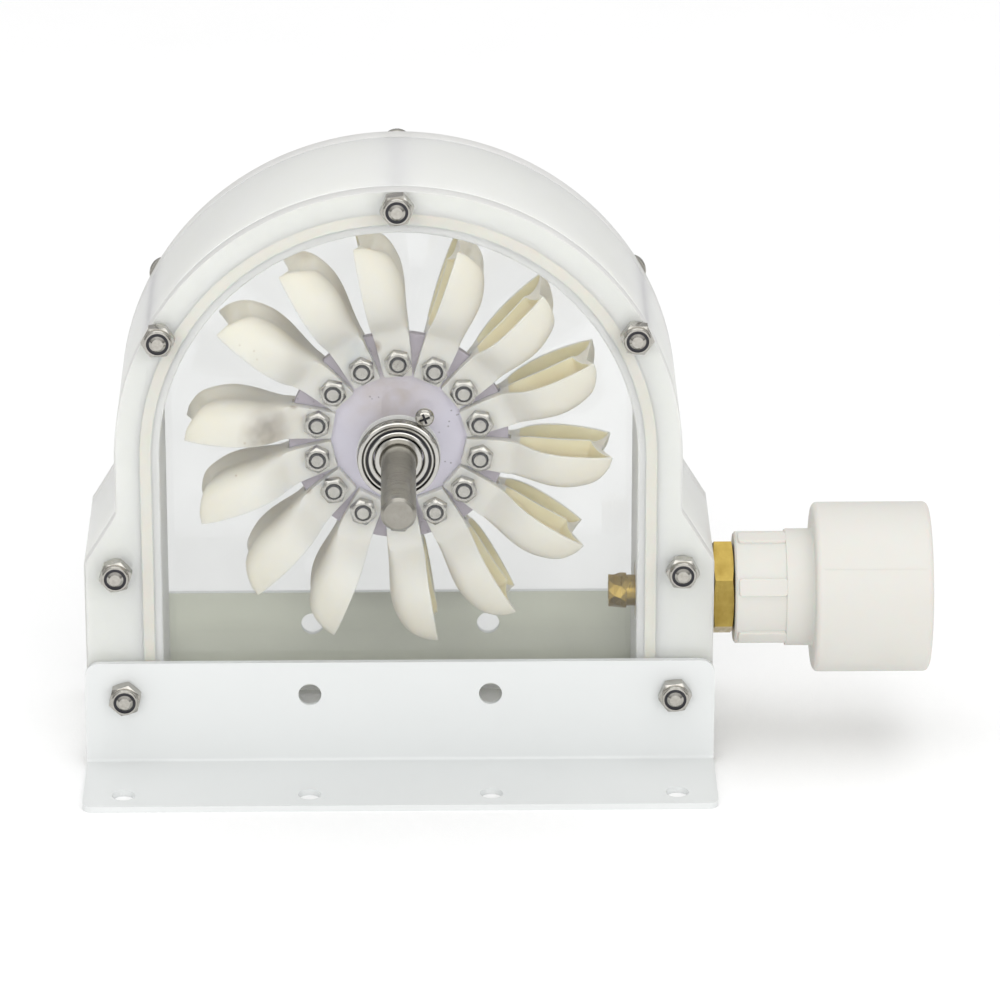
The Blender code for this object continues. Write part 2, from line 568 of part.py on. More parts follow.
def make_hub(parent):
    """The flat disc that carries the buckets, and the flanged boss behind it on the shaft."""
    grey = new_material("disc_plastic", (0.62, 0.60, 0.68), 0.4)
    bore = SHAFT_RADIUS + GAP
    half = DISC_THICKNESS / 2
    disc = turned("hub_disc", [(DISC_RADIUS, half), (DISC_RADIUS, -half), (bore, -half), (bore, half)], 42)
    place(disc, grey, location=(0.0, WHEEL_Y, 0.0), rotation=ALONG_Y, parent=parent)

    steel = new_material("hub_steel", (0.55, 0.54, 0.52), 0.35, 1.0)
    front = half + GAP
    profile = [(HUB_BOSS_RADIUS, front + HUB_LENGTH), (HUB_BOSS_RADIUS, front + HUB_FLANGE_THICKNESS),
               (HUB_FLANGE_RADIUS, front + HUB_FLANGE_THICKNESS), (HUB_FLANGE_RADIUS, front),
               (bore, front), (bore, front + HUB_LENGTH)]
    flange = turned("hub_flange", profile, 32)
    place(flange, steel, location=(0.0, WHEEL_Y, 0.0), rotation=ALONG_Y, parent=parent)


def bucket_cut(row):
    """One cut across the bucket, closed, as points (across, out from the axis, forward)."""
    radius, mouth, bulge, rim, splitter, floor, back, valley, roundness, notch, back_notch = row
    span = mouth - CUP_WALL - SPLITTER_HALF
    half = []
    for share, depth in CUP_SHAPE:
        top = splitter if share < BACK_MIDDLE else rim
        across = SPLITTER_HALF + share * span
        half.append((across, radius - notch * (1.0 - across / mouth), floor + depth * (top - floor)))
    half.append((mouth, radius, rim))
    flank = (bulge, back + FLANK_HEIGHT * (rim - back))
    corner = (bulge * (1.0 - BACK_CORNER[0] * roundness), back + BACK_CORNER[1] * roundness * (rim - back))
    for across, forward in (flank, corner, (BACK_MIDDLE * bulge, back)):
        half.append((across, radius - back_notch * (1.0 - across / bulge), forward))
    middle = (0.0, radius - back_notch, valley)
    return half + [middle] + [(-across, out, forward) for across, out, forward in reversed(half)]


def bucket_mesh():
    """A tube whose rings are stretched to the cuts, with a slot for the disc between the ears.

    Built once at the top of the wheel with the axis at the origin; each bucket turns it.
    """
    cuts = [bucket_cut(row) for row in BUCKET_CUTS]
    spokes = len(cuts[0])
    last = len(cuts) - 1
    mesh = bpy.data.meshes.new("bucket_body")
    shape = bmesh.new()
    bmesh.ops.create_cone(shape, cap_ends=True, segments=spokes, radius1=1.0, radius2=1.0, depth=last)
    for ring in range(1, last):
        bmesh.ops.bisect_plane(shape, geom=shape.verts[:] + shape.edges[:] + shape.faces[:],
                               plane_co=(0.0, 0.0, ring - last / 2), plane_no=(0.0, 0.0, 1.0))
    for vert in shape.verts:
        ring = round(vert.co.z + last / 2)
        spoke = round(atan2(vert.co.y, vert.co.x) * spokes / (2 * pi)) % spokes
        across, out, forward = cuts[ring][spoke]
        vert.co = Vector((-forward, across, out)) * MM
    bmesh.ops.recalc_face_normals(shape, faces=shape.faces)
    shape.to_mesh(mesh)
    shape.free()
    body = place(bpy.data.objects.new("bucket_body", mesh))

    slot_top = DISC_RADIUS + GAP
    slot = box("disc_slot_cutter", (DISC_RADIUS, DISC_THICKNESS + 2 * GAP, slot_top))
    place(slot, location=(0.0, 0.0, slot_top / 2))
    boolean(body, slot, "DIFFERENCE")

    graph = bpy.context.evaluated_depsgraph_get()
    mesh = bpy.data.meshes.new_from_object(body.evaluated_get(graph))
    mesh.name = "bucket"
    mesh.shade_smooth()
    mesh.set_sharp_from_angle(angle=radians(40.0))
    return mesh


def make_buckets(parent):
    mesh = bucket_mesh()
    ivory = new_material("bucket_plastic", (0.83, 0.80, 0.72), 0.5)
    mesh.materials.clear()
    mesh.materials.append(ivory)
    bolt = Vector((0.0, 0.0, BUCKET_BOLT_RADIUS))
    for number, turn in enumerate(BUCKET_TURNS):
        bucket = bpy.data.objects.new("bucket_%02d" % (number + 1), mesh)
        PARTS.objects.link(bucket)
        place_on_disc = Matrix.Rotation(2 * pi * number / len(BUCKET_TURNS), 4, "Y")
        turn_on_bolt = Matrix.Rotation(radians(turn), 4, "Y")
        bucket.matrix_local = (Matrix.Translation((0.0, WHEEL_Y, 0.0)) @ place_on_disc
                               @ Matrix.Translation(bolt) @ turn_on_bolt @ Matrix.Translation(-bolt))
        bucket.parent = parent


clear_scene()
PARTS = new_collection("pelton_wheel")
CUTTERS = new_collection("cutters")
housing = new_empty("housing_frame", (-MIDDLE_X, -MIDDLE_Y, 0.0))
wheel = new_empty("wheel_axis", (0.0, 0.0, AXIS_HEIGHT), housing)

make_housing(housing)
for window_name, seal_name, bearing_name, ring_name, bracket_name, direction in (
        ("front_window", "front_seal", "front_bearing", "front_inner_ring", "front_bracket", -1),
        ("rear_window", "rear_seal", "rear_bearing", "rear_inner_ring", "rear_bracket", 1)):
    make_window(window_name, direction, housing)
    make_seal(seal_name, direction, housing)
    make_bearing(bearing_name, direction, housing)
    make_inner_ring(ring_name, direction, wheel)
    make_bracket(bracket_name, direction, housing)
for bolt_name, bolt_x, bolt_height, in_bracket in BOLT_PLACES:
    make_bolt(bolt_name, bolt_x, bolt_height, in_bracket, housing)
make_bearing_screw(housing)
make_nozzle(housing)
make_adapter(housing)
make_shaft(wheel)
make_hub(wheel)
make_buckets(wheel)
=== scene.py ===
# %% [markdown]
# A small demonstration Pelton wheel. Fourteen twin cups on a disc turn inside a clear-fronted
# housing on two angle brackets, and a brass nozzle on the right throws the water at them.
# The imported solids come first: they say where every piece belongs, so nothing has to be
# fitted by eye. Each solid is then dressed by a finer piece with a real finish.

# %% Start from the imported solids
from math import atan2, cos, pi, radians, sin, tan

import bmesh
import bpy
from mathutils import Matrix, Vector


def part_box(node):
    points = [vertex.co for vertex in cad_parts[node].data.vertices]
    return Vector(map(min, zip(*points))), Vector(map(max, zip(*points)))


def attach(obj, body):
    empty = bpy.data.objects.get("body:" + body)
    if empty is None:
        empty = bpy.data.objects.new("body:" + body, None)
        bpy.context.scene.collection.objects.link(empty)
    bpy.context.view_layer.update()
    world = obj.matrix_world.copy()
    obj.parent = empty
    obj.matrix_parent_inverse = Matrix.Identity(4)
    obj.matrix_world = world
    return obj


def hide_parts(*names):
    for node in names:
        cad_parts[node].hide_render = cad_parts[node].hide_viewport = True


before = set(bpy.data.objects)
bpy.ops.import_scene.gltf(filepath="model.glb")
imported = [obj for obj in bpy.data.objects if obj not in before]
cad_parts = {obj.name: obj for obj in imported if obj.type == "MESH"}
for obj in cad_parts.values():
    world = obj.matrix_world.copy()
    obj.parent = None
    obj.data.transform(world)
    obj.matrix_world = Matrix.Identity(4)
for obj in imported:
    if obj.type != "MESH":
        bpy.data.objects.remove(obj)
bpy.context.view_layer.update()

# %% [markdown]
# Measures are written in millimetres, as on a drawing, and turned to metres by MM. The
# wheel's disc and the housing give the two places that everything is measured from: the
# axis of the shaft, and the middle of the housing from front to back.

# %% Where the axis and the housing are
MM = 0.001
disc_low, disc_high = (Vector(corner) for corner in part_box("hub_disc"))
housing_low, housing_high = (Vector(corner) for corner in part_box("housing_body"))
AXIS = (disc_low + disc_high) / 2
AXIS_X, WHEEL_Y, AXIS_Z = AXIS
MIDDLE_Y = (housing_low.y + housing_high.y) / 2
print("axis at x %.4f z %.4f, wheel at y %.4f" % (AXIS_X, AXIS_Z, WHEEL_Y), "housing at y %.4f" % MIDDLE_Y)

# %% [markdown]
# The camera stands almost straight in front, two metres away and a little above, with a
# long lens, so that the sides of the housing hardly converge.

# %% Camera
def new_object(name, data):
    made = bpy.data.objects.new(name, data)
    bpy.context.collection.objects.link(made)
    return made


camera = new_object("camera", bpy.data.cameras.new("camera"))
camera.location = (-0.03156, -1.89956, 0.85653)
camera.rotation_euler = (radians(90.0 - 22.02), 0.0, radians(-0.872))
camera.data.lens = 211.7
camera.data.sensor_width = 36.0
camera.data.clip_end = 50.0
bpy.context.scene.camera = camera

# %% [markdown]
# A finish is a tree of shader nodes. These helpers keep the trees short to write: one adds
# a node with its settings and the values of its sockets, one joins two sockets, and one
# does both for a whole list of nodes. A socket is called by its name, or by its place in
# the list where several share a name.

# %% Helpers for shader nodes
def add_node(tree, kind, values=(), **settings):
    made = tree.nodes.new("ShaderNode" + kind)
    for setting, value in settings.items():
        setattr(made, setting, value)
    for socket, value in dict(values).items():
        made.inputs[socket].default_value = value
    return made


def join(start, start_socket, end, end_socket):
    start.id_data.links.new(start.outputs[start_socket], end.inputs[end_socket])


def add_nodes(tree, made, nodes, wires):
    """Add labelled nodes to those at hand and join them; a wire reads "noise.Fac > spread.Value"."""
    for label, (words, values) in nodes.items():
        kind, *operation = words.split()
        made[label] = add_node(tree, kind, values, **{"operation": word for word in operation})
    for wire in wires.strip().splitlines():
        (start, leaving), (end, entering) = (words.split(".") for words in wire.strip().split(" > "))
        join(made[start], leaving, made[end], int(entering) if entering.isdigit() else entering)


def new_group(name, inputs, nodes, wires):
    """A node group with one output, Value."""
    tree = bpy.data.node_groups.new(name, "ShaderNodeTree")
    for socket, value in inputs.items():
        kind = "NodeSocketFloat" if isinstance(value, float) else "NodeSocketVector"
        tree.interface.new_socket(socket, in_out="INPUT", socket_type=kind).default_value = value
    tree.interface.new_socket("Value", in_out="OUTPUT", socket_type="NodeSocketFloat")
    made = {"in": tree.nodes.new("NodeGroupInput"), "out": tree.nodes.new("NodeGroupOutput"),
            "place": add_node(tree, "TexCoord")}
    add_nodes(tree, made, nodes, wires)
    return tree


# %% [markdown]
# Most finishes here are plain at arm's length and uneven close up: moulded plastic is a
# little cloudy, paint has a faint orange peel, metal has fine scratches. One group makes
# the slow drift of colour, another pulls noise out along one axis, as brushing does. Both
# read Object coordinates, so the pattern stays on the piece when the wheel turns.

# %% Slow drift and fine streaks
MIDDLE_OF_NOISE = {"From Min": 0.3, "From Max": 0.7}
SPREAD_WIRES = """
    noise.Fac > spread.Value
    in.Low > spread.To Min
    in.High > spread.To Max
    spread.Result > out.Value"""
CLOUDY = new_group("cloudy", {"Scale": 40.0, "Low": 0.0, "High": 1.0}, {
    "noise": ("TexNoise", {"Detail": 4.0, "Roughness": 0.6}),
    "spread": ("MapRange", MIDDLE_OF_NOISE)}, """
    place.Object > noise.Vector
    in.Scale > noise.Scale""" + SPREAD_WIRES)
STREAKS = new_group("streaks", {"Stretch": (40.0, 1500.0, 1500.0), "Low": 0.0, "High": 1.0}, {
    "pull": ("Mapping", {}),
    "noise": ("TexNoise", {"Scale": 1.0, "Detail": 3.0, "Roughness": 0.7}),
    "spread": ("MapRange", MIDDLE_OF_NOISE)}, """
    place.Object > pull.Vector
    in.Stretch > pull.Scale
    pull.Vector > noise.Vector""" + SPREAD_WIRES)
print("shared groups:", CLOUDY.name, STREAKS.name)


# %% [markdown]
# The plain finishes share one recipe: two close colours drift into each other, the
# roughness drifts too, and a fine relief bends the highlights. What differs from one to
# the next is only the numbers, so the recipe is one function.

# %% Recipe for a plain finish
def group_node(tree, group, values=()):
    return add_node(tree, "Group", values, node_tree=group)


def drifting_colour(tree, drift, colour, second):
    mix = add_node(tree, "Mix", {6: (*colour, 1.0), 7: (*second, 1.0)}, data_type="RGBA")
    join(group_node(tree, CLOUDY, {"Scale": drift}), "Value", mix, 0)
    join(mix, 2, tree.nodes["Principled BSDF"], "Base Color")


def plain_finish(name, colour, second, drift, rough, relief, sockets=(), stretch=None):
    """drift is the pattern's scale, rough the lowest and highest roughness, relief (scale, height)."""
    material = bpy.data.materials.new(name)
    material.use_nodes = True
    tree = material.node_tree
    shader = tree.nodes["Principled BSDF"]
    for socket, value in dict(sockets).items():
        shader.inputs[socket].default_value = value
    drifting_colour(tree, drift, colour, second)
    pattern = STREAKS if stretch else CLOUDY
    rub_size = {"Stretch": stretch} if stretch else {"Scale": 3.0 * drift}
    grain_size = {"Stretch": stretch} if stretch else {"Scale": relief[0]}
    rub = group_node(tree, pattern, {**rub_size, "Low": rough[0], "High": rough[1]})
    join(rub, "Value", shader, "Roughness")
    bump = add_node(tree, "Bump", {"Distance": relief[1] * MM})
    join(group_node(tree, pattern, grain_size), "Value", bump, "Height")
    join(bump, "Normal", shader, "Normal")
    return material


# %% [markdown]
# Moulded and machined faces also carry marks of their own, and some get painted shade. One group scatters
# small dots; one makes a soft uneven patch round a point, used both for stains and for painted shade; and
# one goes from 0 near a point to 1 far from it, used for painted shade. The last draws fine rings about a
# line along Y, as a lathe leaves them.

# %% Specks, smudges with painted shade, and turning marks
SPECKS = new_group("specks", {"Scale": 300.0, "Size": 0.15, "Amount": 0.5}, {
    "dots": ("TexVoronoi", {}),
    "patches": ("TexNoise", {"Scale": 35.0, "Detail": 2.0}),
    "near": ("Math LESS_THAN", {}),
    "few": ("Math LESS_THAN", {}),
    "both": ("Math MULTIPLY", {})}, """
    place.Object > dots.Vector
    place.Object > patches.Vector
    in.Scale > dots.Scale
    dots.Distance > near.0
    in.Size > near.1
    patches.Fac > few.0
    in.Amount > few.1
    near.Value > both.0
    few.Value > both.1
    both.Value > out.Value""")
SMUDGE_AND_SHADE = new_group("smudge_and_shade", {"Centre": (0.0, 0.0, 0.0), "Radius": 0.01}, {
    "apart": ("VectorMath DISTANCE", {}),
    "cloud": ("TexNoise", {"Scale": 260.0, "Detail": 5.0}),
    "share": ("Math DIVIDE", {}),
    "fade": ("MapRange", {"From Min": 0.25, "From Max": 1.0, "To Min": 1.0, "To Max": 0.0}),
    "wobble": ("Math MULTIPLY", {})}, """
    place.Object > cloud.Vector
    place.Object > apart.0
    in.Centre > apart.1
    apart.Value > share.0
    in.Radius > share.1
    share.Value > fade.Value
    fade.Result > wobble.0
    cloud.Fac > wobble.1
    wobble.Value > out.Value""")
AWAY = new_group("away", {"Centre": (0.0, 0.0, 0.0), "Near": 0.01, "Far": 0.02}, {
    "apart": ("VectorMath DISTANCE", {}),
    "fade": ("MapRange", {})}, """
    place.Object > apart.0
    in.Centre > apart.1
    apart.Value > fade.Value
    in.Near > fade.From Min
    in.Far > fade.From Max
    fade.Result > out.Value""")
RING_INPUTS = {"Centre": (0.0, 0.0, 0.0), "Fineness": 2500.0, "Low": 0.0, "High": 1.0}
TURNING_MARKS = new_group("turning_marks", RING_INPUTS, {
    "away": ("VectorMath SUBTRACT", {}),
    "flat": ("VectorMath MULTIPLY", {1: (1.0, 0.0, 1.0)}),
    "radius": ("VectorMath LENGTH", {}),
    "parts": ("SeparateXYZ", {}),
    "pair": ("CombineXYZ", {}),
    "noise": ("TexNoise", {"Detail": 2.0, "Roughness": 0.7}),
    "spread": ("MapRange", MIDDLE_OF_NOISE)}, """
    place.Object > away.0
    in.Centre > away.1
    away.Vector > flat.0
    flat.Vector > radius.0
    away.Vector > parts.Vector
    radius.Value > pair.X
    parts.Y > pair.Y
    pair.Vector > noise.Vector
    in.Fineness > noise.Scale""" + SPREAD_WIRES)


def tint(material, group, values, colour, strength):
    """Lay one more colour over a finish, where the group's value says."""
    tree = material.node_tree
    base = tree.nodes["Principled BSDF"].inputs["Base Color"]
    share = add_node(tree, "Math", {1: strength}, operation="MULTIPLY")
    join(group_node(tree, group, values), "Value", share, 0)
    mix = add_node(tree, "Mix", {7: (*colour, 1.0)}, data_type="RGBA")
    join(share, "Value", mix, 0)
    tree.links.new(base.links[0].from_socket, mix.inputs[6])
    tree.links.new(mix.outputs[2], base)


# %% [markdown]
# The finishes of the real thing: milky sheet plastic for the housing, white paint on the brackets with a
# grey-green coat on the side that faces the housing, ivory for the buckets, lilac for the disc, off-white
# pipe plastic, a beige seal and black nylon. Some of them also carry painted light and shade: the
# grey-green coat is set lighter than it is, the hollows of the cups get a more olive copy of the ivory,
# the disc and the cup tips are darkened, and the black also fills recesses in the bearings, the screw and
# the bolt threads. The marks on the buckets are listed one by one, by their place from the axis of the
# wheel.

# %% Plastics, paint and rubber
milky = plain_finish(
    "milky_sheet", (0.715, 0.72, 0.70), (0.69, 0.695, 0.67), 14.0, (0.42, 0.5), (1500.0, 0.006),
    {"Subsurface Weight": 0.8, "Subsurface Scale": 0.014, "Subsurface Radius": (1.0, 1.0, 0.9)})
white_paint = plain_finish(
    "white_coat", (0.725, 0.74, 0.735), (0.70, 0.715, 0.71), 9.0, (0.3, 0.36), (2200.0, 0.004),
    {"Coat Weight": 0.2, "Coat Roughness": 0.15})
# Painted light: the grey-green coat is real, but its colour is set much lighter than grey-green, for the
# shaded inside of the housing.
grey_green = plain_finish(
    "grey_green_coat", (0.96, 0.97, 0.84), (0.92, 0.93, 0.80), 25.0, (0.4, 0.55),
    (900.0, 0.004), stretch=(12.0, 900.0, 900.0))
CUP_LIGHT = {"Subsurface Weight": 0.7, "Subsurface Scale": 0.006, "Subsurface Radius": (1.0, 0.85, 0.6)}
ivory = plain_finish("ivory_plastic", (0.70, 0.685, 0.64), (0.655, 0.635, 0.58), 55.0, (0.38, 0.55),
                     (700.0, 0.012), CUP_LIGHT)
# Painted shade: the hollows of the cups get a more olive copy of the ivory.
hollow_painted_shade = plain_finish("cup_hollow_painted_shade", (0.76, 0.69, 0.475), (0.69, 0.615, 0.395), 60.0, (0.4, 0.55),
                           (700.0, 0.012), CUP_LIGHT)
lilac = plain_finish("lilac_disc", (0.69, 0.66, 0.76), (0.65, 0.62, 0.72), 45.0, (0.5, 0.62),
                     (1200.0, 0.005))
pipe_plastic = plain_finish(
    "pipe_white", (0.66, 0.65, 0.61), (0.64, 0.63, 0.585), 18.0, (0.55, 0.68), (1000.0, 0.006),
    {"Subsurface Weight": 0.2, "Subsurface Scale": 0.004, "Specular IOR Level": 0.35})
seal_cord = plain_finish(
    "seal_cord", (0.69, 0.67, 0.61), (0.66, 0.635, 0.575), 60.0, (0.55, 0.7), (1800.0, 0.02),
    {"Subsurface Weight": 0.25, "Subsurface Scale": 0.003})
black_nylon_and_painted_shade = plain_finish("black_nylon_and_painted_shade", (0.008, 0.008, 0.012), (0.016, 0.015, 0.022), 200.0,
                           (0.3, 0.45), (3000.0, 0.004))

# Painted shade with some dirt: the disc is darker beyond 24 mm from the axis, between the bucket ears.
tint(lilac, AWAY, {"Centre": AXIS, "Near": 0.024, "Far": 0.031}, (0.33, 0.29, 0.33), 0.8)
# Painted shade and dirt: a soft brownish patch on the disc above the bearing.
over_bearing = AXIS + Vector((-0.003, 0.0, 0.014))
tint(lilac, SMUDGE_AND_SHADE, {"Centre": over_bearing, "Radius": 0.021}, (0.46, 0.38, 0.30), 0.8)
tint(lilac, SPECKS, {"Scale": 520.0, "Size": 0.17, "Amount": 0.5}, (0.18, 0.16, 0.19), 0.7)
# Painted shade: the outer ends of the cups are tinted a darker cream.
tint(ivory, AWAY, {"Centre": AXIS, "Near": 0.05, "Far": 0.078}, (0.80, 0.73, 0.57), 0.5)
tint(ivory, SPECKS, {"Scale": 260.0, "Size": 0.12, "Amount": 0.4}, (0.45, 0.36, 0.26), 0.6)
BROWN, SOOT, BLUISH, TAN = (0.20, 0.12, 0.07), (0.26, 0.23, 0.19), (0.50, 0.54, 0.57), (0.42, 0.35, 0.25)
BUCKET_MARKS = ((-46.0, -11.0, 4.0, 11.0, SOOT, 1.3), (-38.0, -8.0, 6.5, 8.0, TAN, 0.5),
                (-13.9, -6.0, 32.7, 9.0, BLUISH, 0.9), (-8.6, -5.2, 34.4, 3.4, BROWN, 1.6),
                (-35.9, -6.0, 13.5, 2.3, BROWN, 1.8), (-31.7, -5.2, -18.2, 2.2, BROWN, 1.5),
                (43.3, -4.0, -25.7, 2.6, BROWN, 1.5), (39.1, -5.2, -20.2, 2.2, BROWN, 1.3),
                (-33.1, 8.0, 66.5, 7.0, TAN, 1.0), (-62.0, 4.0, 38.0, 9.0, TAN, 0.5))
for across, back, up, radius, colour, strength in BUCKET_MARKS:
    mark = AXIS + Vector((across, back, up)) * MM
    tint(ivory, SMUDGE_AND_SHADE, {"Centre": mark, "Radius": radius * MM}, colour, strength)

# %% [markdown]
# Metals take their look from what they mirror, so they only need small differences in
# roughness. The fixings are drawn and tumbled, the shaft and the bearings are turned, so
# their marks run round the axis.

# %% Metals
METAL = {"Metallic": 1.0}
stainless = plain_finish("stainless", (0.49, 0.475, 0.44), (0.40, 0.385, 0.35), 350.0, (0.12, 0.26),
                         (1500.0, 0.002), METAL)
cut_steel = plain_finish("cut_bolt_end", (0.55, 0.53, 0.49), (0.42, 0.40, 0.36), 900.0, (0.25, 0.42),
                         (3000.0, 0.003), METAL)
brass = plain_finish("machined_brass", (0.42, 0.31, 0.085), (0.30, 0.21, 0.05), 160.0, (0.25, 0.42),
                     (900.0, 0.006), METAL, stretch=(900.0, 120.0, 120.0))


def turned_finish(name, colour, second, rough, fineness, relief):
    """Metal with turning marks round the wheel's axis."""
    material = plain_finish(name, colour, second, 300.0, rough, (1500.0, 0.001), METAL)
    tree = material.node_tree
    shader = tree.nodes["Principled BSDF"]
    rings = {"Centre": AXIS, "Fineness": fineness}
    marks = group_node(tree, TURNING_MARKS, {**rings, "Low": rough[0], "High": rough[1]})
    join(marks, "Value", shader, "Roughness")
    bump = shader.inputs["Normal"].links[0].from_node
    bump.inputs["Distance"].default_value = relief * MM
    join(group_node(tree, TURNING_MARKS, rings), "Value", bump, "Height")
    return material


ground_steel = turned_finish("ground_steel", (0.36, 0.345, 0.31), (0.31, 0.295, 0.26), (0.24, 0.38),
                             3500.0, 0.002)
bearing_steel = turned_finish("bearing_steel", (0.57, 0.56, 0.53), (0.51, 0.50, 0.47), (0.1, 0.22),
                              5000.0, 0.001)

# %% [markdown]
# Clear sheet is the hardest finish here. Looking through it bends the view a little, so it is real glass
# in the shader; but lamps have to reach the wheel behind it, so for shadow rays alone it is plain
# transparent. The rear sheet has a darker tint than the front one, which paints shade into the view
# through the window, and the sawn edges are matt and grey.

# %% Clear sheet
def clear_finish(name, colour, roughness, share, second):
    """share is how much of the light goes through; shadow rays take on the second colour."""
    material = bpy.data.materials.new(name)
    material.use_nodes = True
    tree = material.node_tree
    shader = tree.nodes["Principled BSDF"]
    shader.inputs["Transmission Weight"].default_value = share
    shader.inputs["IOR"].default_value = 1.49
    drifting_colour(tree, 8.0, colour, second)
    scuffs = group_node(tree, STREAKS, {"Stretch": (60.0, 60.0, 900.0), "Low": roughness[0],
                                        "High": roughness[1]})
    join(scuffs, "Value", shader, "Roughness")
    clear = add_node(tree, "BsdfTransparent", {"Color": (*second, 1.0)})
    choice = add_node(tree, "MixShader")
    join(add_node(tree, "LightPath"), "Is Shadow Ray", choice, 0)
    join(shader, "BSDF", choice, 1)
    join(clear, "BSDF", choice, 2)
    join(choice, "Shader", tree.nodes["Material Output"], "Surface")
    return material


clear_front = clear_finish("clear_sheet", (0.965, 0.97, 0.968), (0.0, 0.02), 1.0, (0.985, 0.99, 0.985))
# Painted shade: the rear sheet is tinted darker than the front one.
clear_rear_painted_shade = clear_finish("rear_sheet_painted_shade", (0.75, 0.755, 0.75), (0.0, 0.03), 1.0, (0.95, 0.955, 0.95))
clear_edge = clear_finish("sawn_edge", (0.74, 0.735, 0.72), (0.5, 0.65), 0.2, (0.68, 0.675, 0.66))
print("finishes:", len(bpy.data.materials))

# %% [markdown]
# The shapes come from a few workshop steps. Turning spins a profile about its axis.
# Sheet is cut from an outline with holes, as a flat curve that also rounds its own edges.
# Edges that a tool has broken are bevelled, and holes that cross a curved wall are cut
# with an exact Boolean. Places are given on the drawing: across from the axis, back from
# the middle of the housing, and up from the floor, all in millimetres.

# %% Workshop steps
AXIS_HEIGHT = AXIS_Z / MM
DISC_BACK = (WHEEL_Y - MIDDLE_Y) / MM
ALONG_Y = Matrix.Rotation(-pi / 2, 4, "X")
ALONG_X = Matrix.Rotation(pi / 2, 4, "Y")
FACING_FRONT = Matrix.Rotation(pi / 2, 4, "X")


def shift(x, y, z):
    return Matrix.Translation((x * MM, y * MM, z * MM))


def about_z(degrees):
    return Matrix.Rotation(radians(degrees), 4, "Z")


def spot(across, back, up):
    """A place on the drawing as a matrix in metres."""
    return Matrix.Translation((AXIS_X, MIDDLE_Y, 0.0)) @ shift(across, back, up)


def arc(centre_x, centre_y, radius, start, end, steps):
    """Points from one angle to another, in degrees, both ends included."""
    turns = [radians(start + (end - start) * step / steps) for step in range(steps + 1)]
    return [(centre_x + radius * cos(turn), centre_y + radius * sin(turn)) for turn in turns]


def circle(centre_x, centre_y, radius, steps=48):
    return arc(centre_x, centre_y, radius, 0.0, 360.0, steps)[:-1]


def settle_shading(mesh, sharp=35.0):
    """Smooth over gentle turns, crisp over sharper ones, and dead flat where a face lies square."""
    mesh.shade_smooth()
    mesh.set_sharp_from_angle(angle=radians(sharp))
    for face in mesh.polygons:
        if max(abs(share) for share in face.normal) > 0.99999:
            face.use_smooth = False
    return mesh


def mesh_from(shape, name="part", sharp=35.0):
    mesh = bpy.data.meshes.new(name)
    shape.to_mesh(mesh)
    shape.free()
    return settle_shading(mesh, sharp)


def opened(mesh):
    """A mesh as a shape that the operators can work on."""
    shape = bmesh.new()
    shape.from_mesh(mesh)
    return shape


def welded(shape, gap=0.000001):
    """Merge doubled points, and let every face look outward."""
    bmesh.ops.remove_doubles(shape, verts=shape.verts, dist=gap)
    bmesh.ops.recalc_face_normals(shape, faces=shape.faces)
    return shape


def turned(profile, steps=64):
    """Spin points of (radius, height), in millimetres, about Z. Off the axis, they are a closed ring."""
    shape = bmesh.new()
    points = [shape.verts.new((radius * MM, 0.0, height * MM)) for radius, height in profile]
    line = [shape.edges.new(pair) for pair in zip(points, points[1:])]
    if profile[0][0] > 0.0:
        line.append(shape.edges.new((points[-1], points[0])))
    bmesh.ops.spin(shape, geom=points + line, cent=(0.0, 0.0, 0.0), axis=(0.0, 0.0, 1.0), angle=2 * pi,
                   steps=steps, use_merge=True)
    return welded(shape)


def lathe(profile, steps=64):
    return mesh_from(turned(profile, steps))


def rod(radius, low, high, steps=64):
    return lathe([(0.0, low), (radius, low), (radius, high), (0.0, high)], steps)


def block(size, middle):
    """A box from its three lengths and its middle, in millimetres."""
    shape = bmesh.new()
    bmesh.ops.create_cube(shape, size=MM)
    bmesh.ops.scale(shape, vec=size, verts=shape.verts)
    bmesh.ops.translate(shape, vec=Vector(middle) * MM, verts=shape.verts)
    return mesh_from(shape)


def slice_level(shape, height):
    bmesh.ops.bisect_plane(shape, geom=shape.verts[:] + shape.edges[:] + shape.faces[:],
                           plane_co=(0.0, 0.0, height), plane_no=(0.0, 0.0, 1.0))


def bevelled(shape, edges, width, steps):
    bmesh.ops.bevel(shape, geom=edges, offset=width * MM, offset_type="OFFSET", segments=steps,
                    profile=0.5, affect="EDGES", clamp_overlap=True, material=-1)


def break_edges(shape, width, steps=2, sharper=30.0):
    """Bevel every edge that turns by more than the angle."""
    edges = [edge for edge in shape.edges
             if edge.is_manifold and edge.calc_face_angle() > radians(sharper)]
    bevelled(shape, edges, width, steps)
    return shape


def finished_mesh(source):
    """What an object's modifiers or its curve make, as a mesh."""
    bpy.context.collection.objects.link(source)
    graph = bpy.context.evaluated_depsgraph_get()
    mesh = bpy.data.meshes.new_from_object(source.evaluated_get(graph))
    bpy.data.objects.remove(source, do_unlink=True)
    return mesh


def carved(mesh, tools, operation="DIFFERENCE", sharp=35.0):
    """Cut the tools from a mesh, or join them to it."""
    target = bpy.data.objects.new("target", mesh)
    helpers = []
    for tool in tools:
        helper = new_object("tool", tool)
        step = target.modifiers.new("carve", "BOOLEAN")
        step.operation = operation
        step.object = helper
        step.solver = "EXACT"
        helpers.append(helper)
    result = finished_mesh(target)
    for helper in helpers:
        bpy.data.objects.remove(helper, do_unlink=True)
    return settle_shading(result, sharp)


def way_round(outline):
    """Twice the area inside, positive where the outline runs anticlockwise."""
    pairs = zip(outline, outline[1:] + outline[:1])
    return sum(x1 * y2 - x2 * y1 for (x1, y1), (x2, y2) in pairs)


